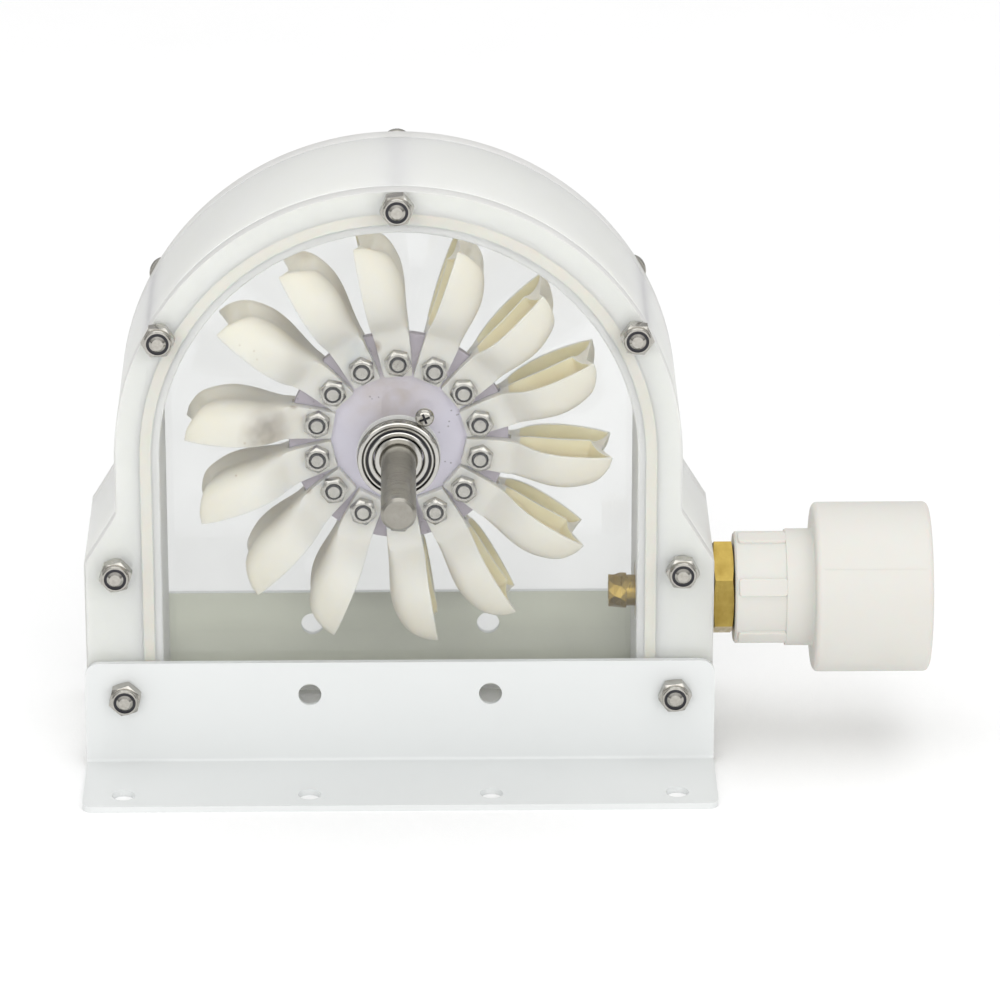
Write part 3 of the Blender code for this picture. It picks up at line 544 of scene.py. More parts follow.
def sheet(outlines, thickness, edge=0.0, steps=2):
    """A flat sheet from its outer edge and its holes, with its edges rounded."""
    curve = bpy.data.curves.new("sheet", "CURVE")
    curve.dimensions = "2D"
    curve.fill_mode = "BOTH"
    curve.extrude = (thickness / 2 - edge) * MM
    curve.bevel_depth = edge * MM
    curve.bevel_resolution = steps
    curve.offset = -edge * MM
    for number, outline in enumerate(outlines):
        if (way_round(outline) > 0) == (number > 0):
            outline = outline[::-1]
        spline = curve.splines.new("POLY")
        spline.points.add(len(outline) - 1)
        for point, (x, y) in zip(spline.points, outline):
            point.co = (x * MM, y * MM, 0.0, 1.0)
        spline.use_cyclic_u = True
    return mesh_from(welded(opened(finished_mesh(bpy.data.objects.new("sheet", curve)))))


def add_piece(name, mesh, body, materials, stands_for=()):
    """Name a finished mesh, dress it and let it ride on its body."""
    mesh.name = name
    for material in materials:
        mesh.materials.append(material)
    piece = new_object(name, mesh)
    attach(piece, body)
    if stands_for:
        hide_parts(*stands_for)
    print("%s: %d faces" % (name, len(mesh.polygons)))
    return piece


# %% [markdown]
# The housing is one thick band of milky sheet, bent over the top in an arch with two
# straight legs and a foot on each side. A groove for the seal runs round both of its
# faces. The band is cut as sheet from its outline; the grooves are cut into it. Milky
# sheet lets light through to the wheel, so the band is told to cast no shadow.

# %% Housing
HOUSING_FACE = 32.0
FIXING_GAP = 0.3
CLEAR_SHEET = 5.85
BAND_HALF_DEPTH = 25.85
BOLTS = (("bolt_top", 0.0, 205.5, 0.0), ("bolt_upper_left", -81.4, 158.8, 0.0),
         ("bolt_upper_right", 81.4, 158.8, 0.0), ("bolt_mid_left", -97.8, 72.5, 0.0),
         ("bolt_mid_right", 97.8, 72.5, 0.0), ("bolt_lower_left", -95.5, 27.1, 2.5),
         ("bolt_lower_right", 95.5, 27.1, 2.5))
SIDES = (("front", -1), ("rear", 1))
BOLT_HOLE = 3.3
NOZZLE_UP = 55.4
SEAL_RADIUS = 87.0
SEAL_CENTRE = AXIS_HEIGHT - 2.0


def housing_edge():
    left_foot = [(-108.8, 3.0), (-108.8, 75.2), (-97.5, 93.6)]
    right_foot = [(-x, y) for x, y in reversed(left_foot)]
    return left_foot + arc(0.0, AXIS_HEIGHT - 1.0, 97.5, 180.0, 0.0, 120) + right_foot


def arch_line(radius, bottom, steps=96):
    return [(-radius, bottom)] + arc(0.0, SEAL_CENTRE, radius, 180.0, 0.0, steps) + [(radius, bottom)]


def bolt_holes(radius):
    return [circle(*bolt[1:3], radius) for bolt in BOLTS]


def seal_line(half_width, bottom):
    outer, inner = (arch_line(SEAL_RADIUS + side * half_width, bottom) for side in (1, -1))
    return outer + inner[::-1]


def make_housing_band():
    outline = housing_edge() + arch_line(82.2, 3.0)[::-1]
    band = sheet([outline] + bolt_holes(BOLT_HOLE), 2 * BAND_HALF_DEPTH, 0.6)
    tools = []
    for side in (-1, 1):
        groove = sheet([seal_line(1.95, 8.0)], 7.0)
        groove.transform(shift(0.0, 0.0, side * BAND_HALF_DEPTH))
        tools.append(groove)
    band = carved(band, tools)
    band.transform(spot(0.0, 0.0, 0.0) @ FACING_FRONT)
    hole = rod(10.5, 60.0, 130.0)
    hole.transform(spot(0.0, DISC_BACK, NOZZLE_UP) @ ALONG_X)
    band = carved(band, [hole])
    piece = add_piece("housing_band", band, "housing", [milky], ["housing_body"])
    piece.visible_shadow = False


make_housing_band()

# %% [markdown]
# Front and rear are closed by clear sheet, bolted through the band, and the bearings sit
# in a hole in each. The faces and the sawn edges of a sheet have two different finishes,
# so each face of the mesh gets the one that suits the way it points.

# %% Clear sheets and their seal
SCREW_PLACE = (9.0, AXIS_HEIGHT + 15.0)


def make_pane(end, side, clear_face):
    holes = bolt_holes(BOLT_HOLE) + [circle(0.0, AXIS_HEIGHT, 14.15, 96)]
    if side < 0:
        holes.append(circle(*SCREW_PLACE, 1.7, 24))
    pane = sheet([housing_edge()] + holes, CLEAR_SHEET, 0.25, 1)
    for face in pane.polygons:
        face.material_index = 0 if abs(face.normal.z) > 0.99 else 1
    pane.transform(spot(0.0, side * (HOUSING_FACE - CLEAR_SHEET / 2), 0.0) @ FACING_FRONT)
    add_piece(end + "_pane", pane, "housing", [clear_face, clear_edge],
              [end + "_window"])


def make_seal(end, side):
    """A soft cord, pressed flat in its groove until it is almost flush with the band."""
    seal = sheet([seal_line(1.948, 8.3)], 3.3, 0.05, 1)
    seal.transform(spot(0.0, side * (BAND_HALF_DEPTH - 1.7), 0.0) @ FACING_FRONT)
    add_piece(end + "_seal_strip", seal, "housing", [seal_cord], [end + "_seal"])


make_pane("front", -1, clear_front)
make_pane("rear", 1, clear_rear_painted_shade)
for end, side in SIDES:
    make_seal(end, side)

# %% [markdown]
# The two angle brackets are bent from painted sheet. A folded sheet is easy to make as
# its cross-section pushed out to its length; then the corners are rounded, the holes
# drilled, and every edge is broken a little so that it catches the light.

# %% Angle brackets
BRACKET_LENGTH = 218.8
BRACKET_HEIGHT = 39.2
BRACKET_FOOT = 40.0
SHEET = 2.2
BEND = 1.0
BRACKET_HOLES = (-95.5, -31.4, 31.4, 95.5)
TOUCHING = 0.00001


def bracket_section():
    bend = SHEET + BEND
    foot_end = [(BRACKET_FOOT, 0.0), (BRACKET_FOOT, SHEET)]
    top_end = [(SHEET, BRACKET_HEIGHT), (0.0, BRACKET_HEIGHT)]
    return (arc(bend, bend, bend, 180.0, 270.0, 10) + foot_end
            + arc(bend, bend, BEND, 270.0, 180.0, 10) + top_end)


def round_corners(shape, chosen, radius):
    """Round the two corners of the sheet whose points the test picks."""
    edges = [edge for edge in shape.edges if all(chosen(vert.co) for vert in edge.verts)
             and abs(edge.verts[0].co.z - edge.verts[1].co.z) < TOUCHING]
    bevelled(shape, edges, radius, 10)


def make_bracket(end, side):
    shape = opened(sheet([bracket_section()], BRACKET_LENGTH))
    bmesh.ops.dissolve_limit(shape, angle_limit=radians(1.0), verts=shape.verts, edges=shape.edges)
    round_corners(shape, lambda co: abs(co.y - BRACKET_HEIGHT * MM) < TOUCHING, 5.0)
    round_corners(shape, lambda co: abs(co.x - BRACKET_FOOT * MM) < TOUCHING, 3.5)
    bracket = mesh_from(shape)
    drills = []
    for across in BRACKET_HOLES:
        for hole_place in (shift(0.0, 27.1, across) @ ALONG_X, shift(30.7, 0.0, across) @ ALONG_Y):
            drill = rod(4.0, -9.0, 9.0, 48)
            drill.transform(hole_place)
            drills.append(drill)
    shape = welded(opened(carved(bracket, drills)))
    bmesh.ops.dissolve_limit(shape, angle_limit=radians(0.5), verts=shape.verts, edges=shape.edges)
    break_edges(shape, 0.25, 2, 50.0)
    bracket = mesh_from(shape)
    inside = SHEET * MM * 0.6
    bend_end = (SHEET + BEND) * MM
    for face in bracket.polygons:
        toward_housing = face.normal.x < -0.9 and face.center.x < inside
        underneath = face.normal.y < -0.9 and face.center.y < inside
        in_the_bend = face.normal.x < -0.05 and face.normal.y < -0.05 and face.center.y < bend_end
        face.material_index = 1 if toward_housing or underneath or in_the_bend else 0
    bracket.transform(Matrix.Rotation(-pi / 2, 4, "Z") @ Matrix.Rotation(pi / 2, 4, "X"))
    turn = Matrix.Rotation(0.0 if side < 0 else pi, 4, "Z")
    bracket.transform(spot(0.0, side * (HOUSING_FACE + FIXING_GAP), 0.0) @ turn)
    add_piece(end + "_angle", bracket, "housing", [white_paint, grey_green],
              [end + "_bracket"])


for end, side in SIDES:
    make_bracket(end, side)

# %% [markdown]
# Seven bolts clamp the sheets to the band. At the front each ends in a lock nut: a
# hexagon with its corners turned off, a round collar rolled over a black nylon ring, and
# the chamfered bolt end in the middle. The hexagon is made by keeping what a hexagonal
# prism and a turned blank have in common, as the real nut is chamfered on a lathe.

# %% Nuts and bolts
def hexagon(corner_radius, height):
    shape = bmesh.new()
    bmesh.ops.create_cone(shape, cap_ends=True, segments=6, radius1=corner_radius * MM,
                          radius2=corner_radius * MM, depth=height * MM)
    bmesh.ops.translate(shape, verts=shape.verts, vec=(0.0, 0.0, height / 2 * MM))
    return mesh_from(shape)


def nut_blank(flats, height, chamfer=30.0, crown=0.97):
    """A chamfered hexagon lying on Z = 0; crown is the flat face's share of its width."""
    corner = flats / 2 / cos(pi / 6)
    face = crown * flats / 2
    drop = (corner + 0.05 - face) * tan(radians(chamfer))
    blank = lathe([(0.0, 0.0), (face, 0.0), (corner + 0.05, drop), (corner + 0.05, height - drop),
                   (face, height), (0.0, height)], 96)
    return carved(hexagon(corner, height), [blank], "INTERSECT")


def join_meshes(name, parts):
    """One mesh from several, each moved by its matrix and given its finish's number."""
    shape = bmesh.new()
    for mesh, matrix, number in parts:
        copy = mesh.copy()
        copy.transform(matrix)
        if number is not None:
            copy.polygons.foreach_set("material_index", [number] * len(copy.polygons))
        shape.from_mesh(copy)
    return mesh_from(shape, name)


def bolt_end(thread, end_radius, bottom, top, side_finish, face_finish):
    """The end of a threaded rod, chamfered and cut off a little hollow."""
    end = lathe([(0.0, bottom), (thread, bottom), (thread, top - 0.8 * (thread - end_radius)),
                 (end_radius, top), (end_radius * 0.55, top - 0.02), (0.0, top - 0.03)])
    for face in end.polygons:
        face.material_index = face_finish if face.normal.z > 0.9 else side_finish
    return end


def lock_nut(flats, hex_height, collar, thread, end):
    """collar is (radius, inner radius, height) and end, of the bolt, (radius, height)."""
    collar_radius, collar_inside, top = collar
    hexa = nut_blank(flats, hex_height)
    rolled = [(collar_radius, hex_height - 0.3), (collar_radius, top - 0.9)]
    rolled += arc(collar_radius - 0.9, top - 0.9, 0.9, 15.0, 90.0, 6)
    rolled += [(collar_inside + 0.25, top), (collar_inside, top - 0.2), (collar_inside, hex_height - 0.3)]
    ring = lathe(rolled)
    nylon = lathe([(collar_inside + 0.1, top - 0.9), (collar_inside + 0.1, top - 0.35),
                   (thread + 0.05, top - 0.25), (thread - 0.1, top - 0.9)])
    stud = bolt_end(thread, end[0], hex_height - 0.4, end[1], 0, 2)
    return [(hexa, 0), (ring, 0), (nylon, 1), (stud, None)]


def countersunk_nut(flats, height, thread, end_radius):
    """A plain nut with its thread countersunk, and the bolt end just proud of it."""
    blank = nut_blank(flats, height, 28.0, 0.9)
    drill = [(0.0, height - 1.3), (thread + 0.05, height - 1.3), (thread + 0.05, height - 0.55),
             (thread + 0.65, height), (thread + 1.15, height + 0.5), (0.0, height + 0.5)]
    nut = carved(blank, [lathe(drill)])
    # The sides of the bolt end, its thread in the countersink, take the black: oil and painted shade.
    return [(nut, 0), (bolt_end(thread, end_radius, height - 1.4, height + 0.5, 1, 0), None)]


HEAD_RADIUS = 5.5
HEAD_HEIGHT = 4.4


def domed_head():
    """Rounded head with a hexagon socket, lying on Z = 0 with its shank below."""
    dome = [(0.0, HEAD_HEIGHT)] + arc(HEAD_RADIUS - 2.2, HEAD_HEIGHT - 2.2, 2.2, 90.0, 0.0, 6)
    dome += [(HEAD_RADIUS, 0.3), (HEAD_RADIUS - 0.2, 0.0), (3.0, 0.0), (3.0, -3.0), (0.0, -3.0)]
    key = hexagon(2.3, 4.0)
    key.transform(shift(0.0, 0.0, 1.0))
    return carved(lathe(dome), [key])


NUT_TURNS = (38.0, 32.0, 24.0, 42.0, 27.0, 47.0, 36.0)
housing_nut = lock_nut(10.2, 4.6, (4.75, 4.05, 6.2), 2.85, (1.95, 6.9))
bolt_head = domed_head()
for (bolt_name, bolt_across, bolt_up, bolt_out), nut_turn in zip(BOLTS, NUT_TURNS):
    seat = HOUSING_FACE + FIXING_GAP + bolt_out
    front = spot(bolt_across, -seat, bolt_up) @ FACING_FRONT @ about_z(nut_turn)
    shank = rod(3.0, 1.0 - seat, seat - 1.0, 32)
    pieces = [(part, front, number) for part, number in housing_nut]
    pieces.append((bolt_head, spot(bolt_across, seat, bolt_up) @ ALONG_Y, 0))
    pieces.append((shank, spot(bolt_across, 0.0, bolt_up) @ ALONG_Y, 0))
    bolt_mesh = join_meshes(bolt_name + "_set", pieces)
    add_piece(bolt_name + "_set", bolt_mesh, "housing",
              [stainless, black_nylon_and_painted_shade, cut_steel], [bolt_name])

# %% [markdown]
# The shaft runs in two shielded ball bearings. Their face is a set of rings: the outer
# ring with its ground chamfer, the crimped edge of the shield, the shield itself, and
# the inner ring, which turns with the shaft. What stays is one turned profile, and what
# turns is another.

# %% Shaft and bearings
BEARING_MIDDLE = HOUSING_FACE - 1.0


def make_bearing(end, side):
    outer_mesh = lathe([
        (13.5, 4.0), (13.85, 3.85), (14.0, 3.5), (14.0, -3.5), (13.5, -4.0), (12.4, -4.0),
        (12.0, -3.3), (8.7, -3.1), (8.7, 3.05), (8.85, 3.38), (9.2, 3.5), (9.95, 3.5), (10.25, 3.35),
        (10.35, 2.7), (11.1, 2.7), (11.2, 3.4), (11.45, 3.6), (11.9, 3.6), (12.15, 3.35), (12.2, 2.6),
        (12.5, 2.6), (12.55, 3.88), (12.7, 4.0)], 96)
    inner_mesh = lathe([
        (8.25, 3.65), (8.25, -3.7), (7.9, -4.0), (6.3, -4.0), (6.02, -3.75), (6.02, 3.5), (6.5, 3.92),
        (6.65, 4.0), (7.95, 4.0)], 96)
    # The deep faces, the gap between the rings and the grooves of the shield, take the black: painted
    # shade.
    for face in outer_mesh.polygons:
        deep = -2.0 < face.center.z / MM < 3.2
        across = Vector(face.center[:2]).length / MM
        face.material_index = 1 if deep and across < 12.6 else 0
    facing = FACING_FRONT if side < 0 else ALONG_Y
    bearing_place = spot(0.0, side * BEARING_MIDDLE, AXIS_HEIGHT) @ facing
    for made in (outer_mesh, inner_mesh):
        made.transform(bearing_place)
    add_piece(end + "_bearing_rings", outer_mesh, "housing",
              [bearing_steel, black_nylon_and_painted_shade], [end + "_bearing"])
    add_piece(end + "_bearing_core", inner_mesh, "wheel", [bearing_steel],
              [end + "_inner_ring"])


for end, side in SIDES:
    make_bearing(end, side)

shaft_mesh = lathe([(0.0, 37.9), (0.9, 37.9), (1.5, 38.0), (5.1, 38.0), (6.0, 37.1), (6.0, -83.3),
                    (5.0, -84.3), (0.0, -84.3)], 96)
shaft_mesh.transform(spot(0.0, 0.0, AXIS_HEIGHT) @ ALONG_Y)
add_piece("ground_shaft", shaft_mesh, "wheel", [ground_steel], ["shaft"])


def make_bearing_screw():
    """Pan head with a cross recess, holding the bearing by its edge."""
    pan = lathe([(0.0, 2.1), (1.5, 2.05), (2.4, 1.8), (2.95, 1.35), (3.25, 0.7), (3.3, 0.1),
                 (3.2, 0.0), (1.5, 0.0), (1.5, -5.0), (0.0, -5.0)], 48)
    slots = []
    for turn in (20.0, 110.0):
        slot_mesh = block((3.8, 0.85, 2.4), (0.0, 0.0, 2.3))
        slot_mesh.transform(about_z(turn))
        slots.append(slot_mesh)
    screw = carved(pan, slots)
    # The faces inside the cross recess take the black: painted shade.
    for face in screw.polygons:
        across = Vector(face.center[:2]).length / MM
        face.material_index = 1 if across < 2.0 and 0.5 < face.center.z / MM < 1.85 else 0
    screw_across, screw_up = SCREW_PLACE
    screw.transform(spot(screw_across, -HOUSING_FACE - FIXING_GAP, screw_up) @ FACING_FRONT)
    add_piece("cross_screw", screw, "housing", [stainless, black_nylon_and_painted_shade], ["bearing_screw"])


make_bearing_screw()

# %% [markdown]
# The nozzle is turned and milled from brass: a tip inside the housing whose flat cuts leave
# it a little out of round, a neck, a round body through the wall, and a large hexagon
# outside for the spanner. The tip is a cone sliced into rings, each turned and squeezed.

# %% Nozzle
tip_place = spot(75.0, DISC_BACK, NOZZLE_UP).translation
tint(brass, SMUDGE_AND_SHADE, {"Centre": tip_place, "Radius": 0.013}, (0.22, 0.13, 0.03), 0.7)


def faceted_tip():
    shape = bmesh.new()
    bmesh.ops.create_cone(shape, cap_ends=True, segments=9, radius1=5.7 * MM, radius2=6.25 * MM,
                          depth=6.2 * MM)
    for height in (-1.2, 1.0):
        slice_level(shape, height * MM)
    for vert in shape.verts:
        if abs(vert.co.z) < 2.0 * MM:
            squeeze = 1.0 + 0.055 * sin(5.0 * atan2(vert.co.y, vert.co.x) + 400.0 * vert.co.z)
            turn = Matrix.Rotation(radians(17.0 if vert.co.z < 0 else -15.0), 3, "Z")
            vert.co = turn @ Vector((squeeze * vert.co.x, squeeze * vert.co.y, vert.co.z))
    bmesh.ops.triangulate(shape, faces=shape.faces)
    bmesh.ops.translate(shape, verts=shape.verts, vec=(0.0, 0.0, 3.1 * MM))
    return mesh_from(shape, "tip")


def make_nozzle():
    body = lathe([(6.5, 134.0), (9.8, 134.0), (10.2, 133.6), (10.2, 82.5), (5.45, 82.5), (5.45, 73.6),
                  (4.9, 73.0), (3.2, 73.0), (3.2, 82.5), (6.5, 86.5)])
    hexa = nut_blank(30.0, 7.2, 12.0)
    hexa.transform(shift(0.0, 0.0, 109.3) @ about_z(30.0))
    tip = faceted_tip()
    tip.transform(shift(0.0, 0.0, 73.0))
    bore = lathe([(0.0, 60.0), (3.2, 60.0), (3.2, 82.5), (6.5, 86.5), (6.5, 140.0), (0.0, 140.0)])
    solid = carved(carved(body, [hexa, tip], "UNION"), [bore])
    nozzle = mesh_from(welded(opened(solid), 0.000002), "brass_nozzle", 10.0)
    nozzle.transform(spot(0.0, DISC_BACK, NOZZLE_UP) @ ALONG_X)
    add_piece("brass_nozzle", nozzle, "housing", [brass], ["nozzle"])


make_nozzle()

# %% [markdown]
# The adapter joins the nozzle to the supply pipe: a ribbed neck that can be gripped, and
# a wide socket. Both edges of the socket are well rounded, and a fine line runs along it
# on two sides, where the halves of the mould met.

# %% Pipe adapter
ADAPTER_RIBS = 6


def round_cornered(length, width, radius):
    """The outline of a strip with rounded corners."""
    x, y = length / 2 - radius, width / 2 - radius
    corners = ((x, y, 0.0), (-x, y, 90.0), (-x, -y, 180.0), (x, -y, 270.0))
    return [point for across, up, start in corners
            for point in arc(across, up, radius, start, start + 90.0, 6)]


def ribs_and_lines():
    """Grip ribs on the neck and the mould lines on the socket, lying along Z."""
    made = []
    for number in range(ADAPTER_RIBS):
        rib = sheet([round_cornered(16.9, 6.2, 1.1)], 6.0, 0.4, 3)
        made.append((rib, 8.0 + 360.0 / ADAPTER_RIBS * number, 17.5, 126.45))
    for turn in (55.3, 235.3):
        made.append((sheet([round_cornered(35.8, 0.5, 0.2)], 0.6), turn, 29.58, 164.7))
    for strip, turn, out, along in made:
        strip.transform(about_z(turn) @ shift(out, 0.0, along) @ ALONG_X)
    return [strip for strip, turn, out, along in made]


def make_adapter():
    edge = arc(27.75, 183.0, 2.0, 0.0, 90.0, 8)
    shoulder = arc(27.75, 146.3, 2.0, -90.0, 0.0, 8)
    profile = [(20.5, 135.3)] + arc(21.3, 143.5, 0.8, 180.0, 90.0, 4) + shoulder + edge
    profile += [(25.5, 185.0), (25.2, 184.7), (25.2, 150.0), (21.2, 150.0), (6.5, 136.0), (10.5, 136.0),
                (10.5, 116.8), (18.9, 116.8), (19.6, 117.4), (19.6, 134.6), (20.3, 134.7)]
    adapter = carved(lathe(profile, 96), ribs_and_lines(), "UNION")
    adapter.transform(spot(0.0, DISC_BACK, NOZZLE_UP) @ ALONG_X)
    add_piece("pipe_socket", adapter, "housing", [pipe_plastic], ["pipe_adapter"])


make_adapter()

# %% [markdown]
# The wheel: a flat lilac disc on a flanged boss, with fourteen buckets that straddle its
# rim on two ears each. They were set by hand, so each is turned a little on its bolt.

# %% Disc and hub
def make_disc():
    disc = turned([(38.0, 1.5), (38.0, -1.5), (6.3, -1.5), (6.3, 1.5)], 128)
    disc_mesh = mesh_from(break_edges(disc, 0.3, 2), "lilac_disc")
    disc_mesh.transform(spot(0.0, DISC_BACK, AXIS_HEIGHT) @ ALONG_Y)
    add_piece("lilac_disc", disc_mesh, "wheel", [lilac], ["hub_disc"])
    boss = [(11.0, 15.8), (11.0, 4.8), (17.0, 4.8), (17.0, 1.8), (6.3, 1.8), (6.3, 15.8)]
    boss_mesh = mesh_from(break_edges(turned(boss, 96), 0.4, 2), "flanged_boss")
    boss_mesh.transform(spot(0.0, DISC_BACK, AXIS_HEIGHT) @ ALONG_Y)
    add_piece("flanged_boss", boss_mesh, "wheel", [ground_steel], ["hub_flange"])


make_disc()

# %% [markdown]
# One bucket is two cups side by side with a splitter between them, flowing out of a pair
# of flat ears. It is a loft: twelve cuts across it, from the ears to the two tips, give
# the shape as rings of points. The rings are those of a tube sliced ten times between its
# ends; its points are moved to the cuts, subdivision makes the skin smooth, and creases
# keep the rims, the splitter and the edges of the ears crisp.

# %% Cuts of one bucket, each a row of the measures that bucket_cut names
BUCKET_CUTS = (
    (23.0, 5.0, 5.0, 5.2, 5.2, 5.2, -4.4, -4.4, 0.0, 0.0, 0.0),
    (26.0, 5.0, 5.0, 5.9, 5.9, 5.9, -4.7, -4.7, 0.0, 0.0, 0.0),
    (38.6, 5.2, 5.2, 7.7, 7.7, 7.7, -4.6, -4.6, 0.0, 0.0, 0.0),
    (41.3, 8.2, 6.9, 8.3, 8.2, 7.8, -4.6, -4.5, 0.3, 0.0, 0.0),
    (44.6, 11.8, 10.1, 8.7, 8.9, 4.2, -4.6, -4.0, 0.7, 0.0, 0.0),
    (48.8, 14.7, 13.4, 9.1, 9.5, -0.6, -4.9, -3.2, 1.0, 0.0, 0.0),
    (54.4, 16.2, 15.2, 9.8, 10.2, -3.4, -5.2, -2.6, 1.0, 0.0, 0.0),
    (60.4, 16.1, 15.1, 10.5, 11.0, -3.4, -4.8, -1.8, 1.0, 1.0, 0.6),
    (66.0, 15.2, 14.1, 11.1, 11.6, -1.2, -3.0, -0.2, 1.0, 3.6, 2.2),
    (70.2, 13.9, 12.9, 11.5, 11.9, 0.8, -1.2, 2.0, 1.0, 6.0, 3.8),
    (72.1, 12.9, 12.1, 11.7, 12.0, 3.6, 1.0, 4.2, 1.0, 7.2, 5.2),
    (73.1, 12.2, 11.6, 11.8, 12.0, 10.4, 4.6, 7.4, 1.0, 8.0, 6.4),
)
DISC_SLOT = (60.0, 3.6, 38.3)
CUP_WALL = 1.3
SPLITTER_HALF = 0.5
CUP_SHAPE = ((0.0, 1.0), (0.16, 0.3), (0.5, 0.0), (0.86, 0.3), (1.0, 1.0))

# Lines that run along the bucket, counted round a cut, and how crisp each is: the two
# edges of the splitter, then the inner and the outer lip of both cups.
SHARP_LINES = {0: 0.9, 18: 0.9, 4: 0.75, 14: 0.75, 5: 0.75, 13: 0.75}
INNER_LIPS = (4, 14)
EAR_LINES = (5, 7, 11, 13)
EAR_RINGS = 3


def bucket_cut(row):
    """One closed cut, as points (across, out from the axis, forward) in millimetres."""
    radius, mouth, bulge, rim, splitter, floor, back, valley, roundness, notch, back_notch = row
    span = mouth - CUP_WALL - SPLITTER_HALF
    half = []
    for share, depth in CUP_SHAPE:
        top = splitter if share < 0.5 else rim
        across = SPLITTER_HALF + share * span
        half.append((across, radius - notch * (1.0 - across / mouth), floor + depth * (top - floor)))
    half.append((mouth, radius, rim))
    flank = (bulge, back + 0.45 * (rim - back))
    corner = (bulge * (1.0 - 0.17 * roundness), back + 0.16 * roundness * (rim - back))
    for across, forward in (flank, corner, (0.5 * bulge, back)):
        half.append((across, radius - back_notch * (1.0 - across / bulge), forward))
    middle = (0.0, radius - back_notch, valley)
    return half + [middle] + [(-across, out, forward) for across, out, forward in reversed(half)]


# %% Loft of one bucket
def bucket_mesh():
    cuts = [bucket_cut(row) for row in BUCKET_CUTS]
    spokes = len(cuts[0])
    last = len(cuts) - 1
    shape = bmesh.new()
    bmesh.ops.create_cone(shape, cap_ends=True, segments=spokes, radius1=1.0, radius2=1.0, depth=last)
    for ring in range(1, last):
        slice_level(shape, ring - last / 2)
    place = {}
    for vert in shape.verts:
        ring = round(vert.co.z + last / 2)
        spoke = round(atan2(vert.co.y, vert.co.x) * spokes / (2 * pi)) % spokes
        place[vert] = (ring, spoke)
    crease = shape.edges.layers.float.new("crease_edge")
    for edge in shape.edges:
        (ring, spoke), (other_ring, other_spoke) = (place[vert] for vert in edge.verts)
        if spoke == other_spoke:
            edge[crease] = SHARP_LINES.get(spoke, 0.0)
            if max(ring, other_ring) <= EAR_RINGS and spoke in EAR_LINES:
                edge[crease] = 0.8
        elif ring == 0:
            edge[crease] = 0.9
        elif ring == last:
            edge[crease] = 0.85
    # Faces inside the cups take the second finish, the painted shade of the hollows.
    for face in shape.faces:
        rings, spokes_here = zip(*(place[vert] for vert in face.verts))
        in_a_cup = max(spokes_here) <= INNER_LIPS[0] or min(spokes_here) >= INNER_LIPS[1]
        face.material_index = 1 if in_a_cup and min(rings) >= EAR_RINGS and len(face.verts) == 4 else 0
    for vert, (ring, spoke) in place.items():
        across, out, forward = cuts[ring][spoke]
        vert.co = Vector((-forward, across, out)) * MM
    bmesh.ops.recalc_face_normals(shape, faces=shape.faces)
    loft = bpy.data.objects.new("bucket", mesh_from(shape, "bucket"))
    smooth = loft.modifiers.new("smooth", "SUBSURF")
    smooth.levels = smooth.render_levels = 2
    return carved(finished_mesh(loft), [block(DISC_SLOT, (0.0, 0.0, DISC_SLOT[2] / 2))])


# %% [markdown]
# Each bucket is held by one bolt through its ears and the disc. Its nut is on the front
# ear, and its hexagon head behind. They all turn with the wheel.

# %% Fourteen buckets and their bolts
BUCKET_TURNS = (-4.3, -0.7, -0.3, -3.6, -0.3, 1.3, 3.0, -2.0, 2.3, -0.8, -1.0, -2.5, 6.9, 3.0)
BUCKET_BOLT = 28.8
EAR_FACE = 5.15
bucket = bucket_mesh()
wheel_nut = countersunk_nut(8.3, 3.6, 2.35, 2.05)
wheel_head = nut_blank(8.0, 3.5)
wheel_shank = rod(2.45, -7.5, 6.0, 24)
for number, turn in enumerate(BUCKET_TURNS):
    round_the_disc = Matrix.Rotation(2 * pi * number / len(BUCKET_TURNS), 4, "Y")
    on_disc = spot(0.0, DISC_BACK, AXIS_HEIGHT) @ round_the_disc
    bolt_spot = shift(0.0, 0.0, BUCKET_BOLT)
    turn_on_bolt = bolt_spot @ Matrix.Rotation(radians(turn), 4, "Y") @ bolt_spot.inverted()
    name = "bucket_%02d" % (number + 1)
    one = bucket.copy()
    one.transform(on_disc @ turn_on_bolt)
    add_piece("cup_pair_%02d" % (number + 1), one, "wheel", [ivory, hollow_painted_shade], [name])
    on_bolt = on_disc @ bolt_spot
    nut_turn = about_z(30.0 + (number * 37) % 23 - 11.0)
    front_ear = on_bolt @ shift(0.0, -EAR_FACE, 0.0) @ FACING_FRONT @ nut_turn
    rear_ear = on_bolt @ shift(0.0, EAR_FACE, 0.0) @ ALONG_Y
    parts = [(part, front_ear, finish) for part, finish in wheel_nut]
    parts += [(wheel_head, rear_ear, 0), (wheel_shank, on_bolt @ ALONG_Y, 0)]
    add_piece("wheel_bolt_%02d" % (number + 1), join_meshes("wheel_bolt", parts), "wheel",
              [stainless, black_nylon_and_painted_shade, cut_steel])

# %% [markdown]
# The floor is a wide pale sheet, and the light is a white tent with two large soft boxes.
# The tent is one strength for lighting and another for mirroring, and it is plain white
# wherever it is seen directly, through clear sheet too: such a ray has made no bounce
# other than the ones through the sheet.

# %% Floor and light
FLOOR_SIZE = 12.0
TENT_LIGHT = 0.72


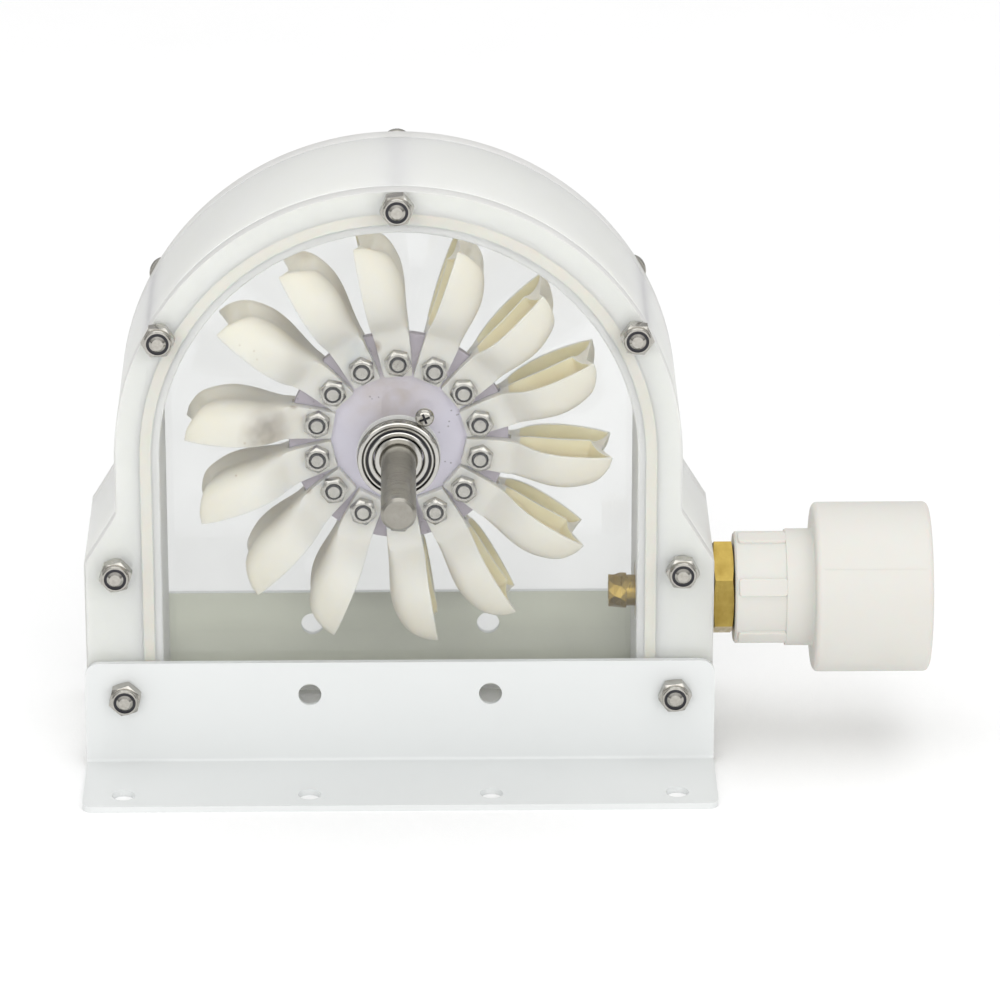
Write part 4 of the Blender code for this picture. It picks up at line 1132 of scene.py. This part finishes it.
def make_floor():
    shape = bmesh.new()
    bmesh.ops.create_grid(shape, x_segments=1, y_segments=1, size=FLOOR_SIZE / 2)
    floor = new_object("floor", mesh_from(shape, "floor"))
    floor.data.materials.append(plain_finish(
        "floor_paper", (0.96, 0.96, 0.96), (0.945, 0.945, 0.945), 6.0, (0.7, 0.8), (900.0, 0.05)))


def add_soft_box(name, place, target, size, power):
    light = bpy.data.lights.new(name, "AREA")
    light.shape = "RECTANGLE"
    light.size, light.size_y = size
    light.energy = power
    lamp = new_object(name, light)
    lamp.location = place
    lamp.rotation_euler = (Vector(target) - Vector(place)).to_track_quat("-Z", "Y").to_euler()


def make_tent():
    """In mirrors the tent darkens towards the horizon, so that steel has something dark to show."""
    world = bpy.data.worlds.new("white_tent")
    bpy.context.scene.world = world
    world.use_nodes = True
    tree = world.node_tree
    tent = tree.nodes["Background"]
    tent.inputs["Color"].default_value = (1.0, 1.0, 1.0, 1.0)
    lit = add_node(tree, "Mix", {2: TENT_LIGHT}, data_type="FLOAT")
    add_nodes(tree, {"tent": tent, "lit": lit}, {
        "direction": ("TexCoord", {}),
        "parts": ("SeparateXYZ", {}),
        "height": ("MapRange", {"From Max": 0.6, "To Min": 0.25, "To Max": 0.75}),
        "ray": ("LightPath", {}),
        "other_bounces": ("Math SUBTRACT", {}),
        "straight": ("Math LESS_THAN", {1: 1.5}),
        "through": ("Math MULTIPLY", {}),
        "in_view": ("Math MAXIMUM", {}),
        "shown": ("Math MAXIMUM", {})}, """
        direction.Generated > parts.Vector
        parts.Z > height.Value
        ray.Is Glossy Ray > lit.0
        height.Result > lit.3
        lit.Result > shown.0
        ray.Ray Depth > other_bounces.0
        ray.Transmission Depth > other_bounces.1
        other_bounces.Value > straight.0
        straight.Value > through.0
        ray.Is Transmission Ray > through.1
        through.Value > in_view.0
        ray.Is Camera Ray > in_view.1
        in_view.Value > shown.1
        shown.Value > tent.Strength""")


make_floor()
make_tent()
add_soft_box("soft_box_above", (0.1, 0.0, 2.8), (0.0, 0.0, 0.0), (3.0, 3.2), 34.0)
add_soft_box("soft_box_front", (0.1, -2.7, 1.15), (0.0, 0.0, 0.1), (4.0, 1.6), 37.0)
bpy.context.scene.view_settings.view_transform = "Standard"
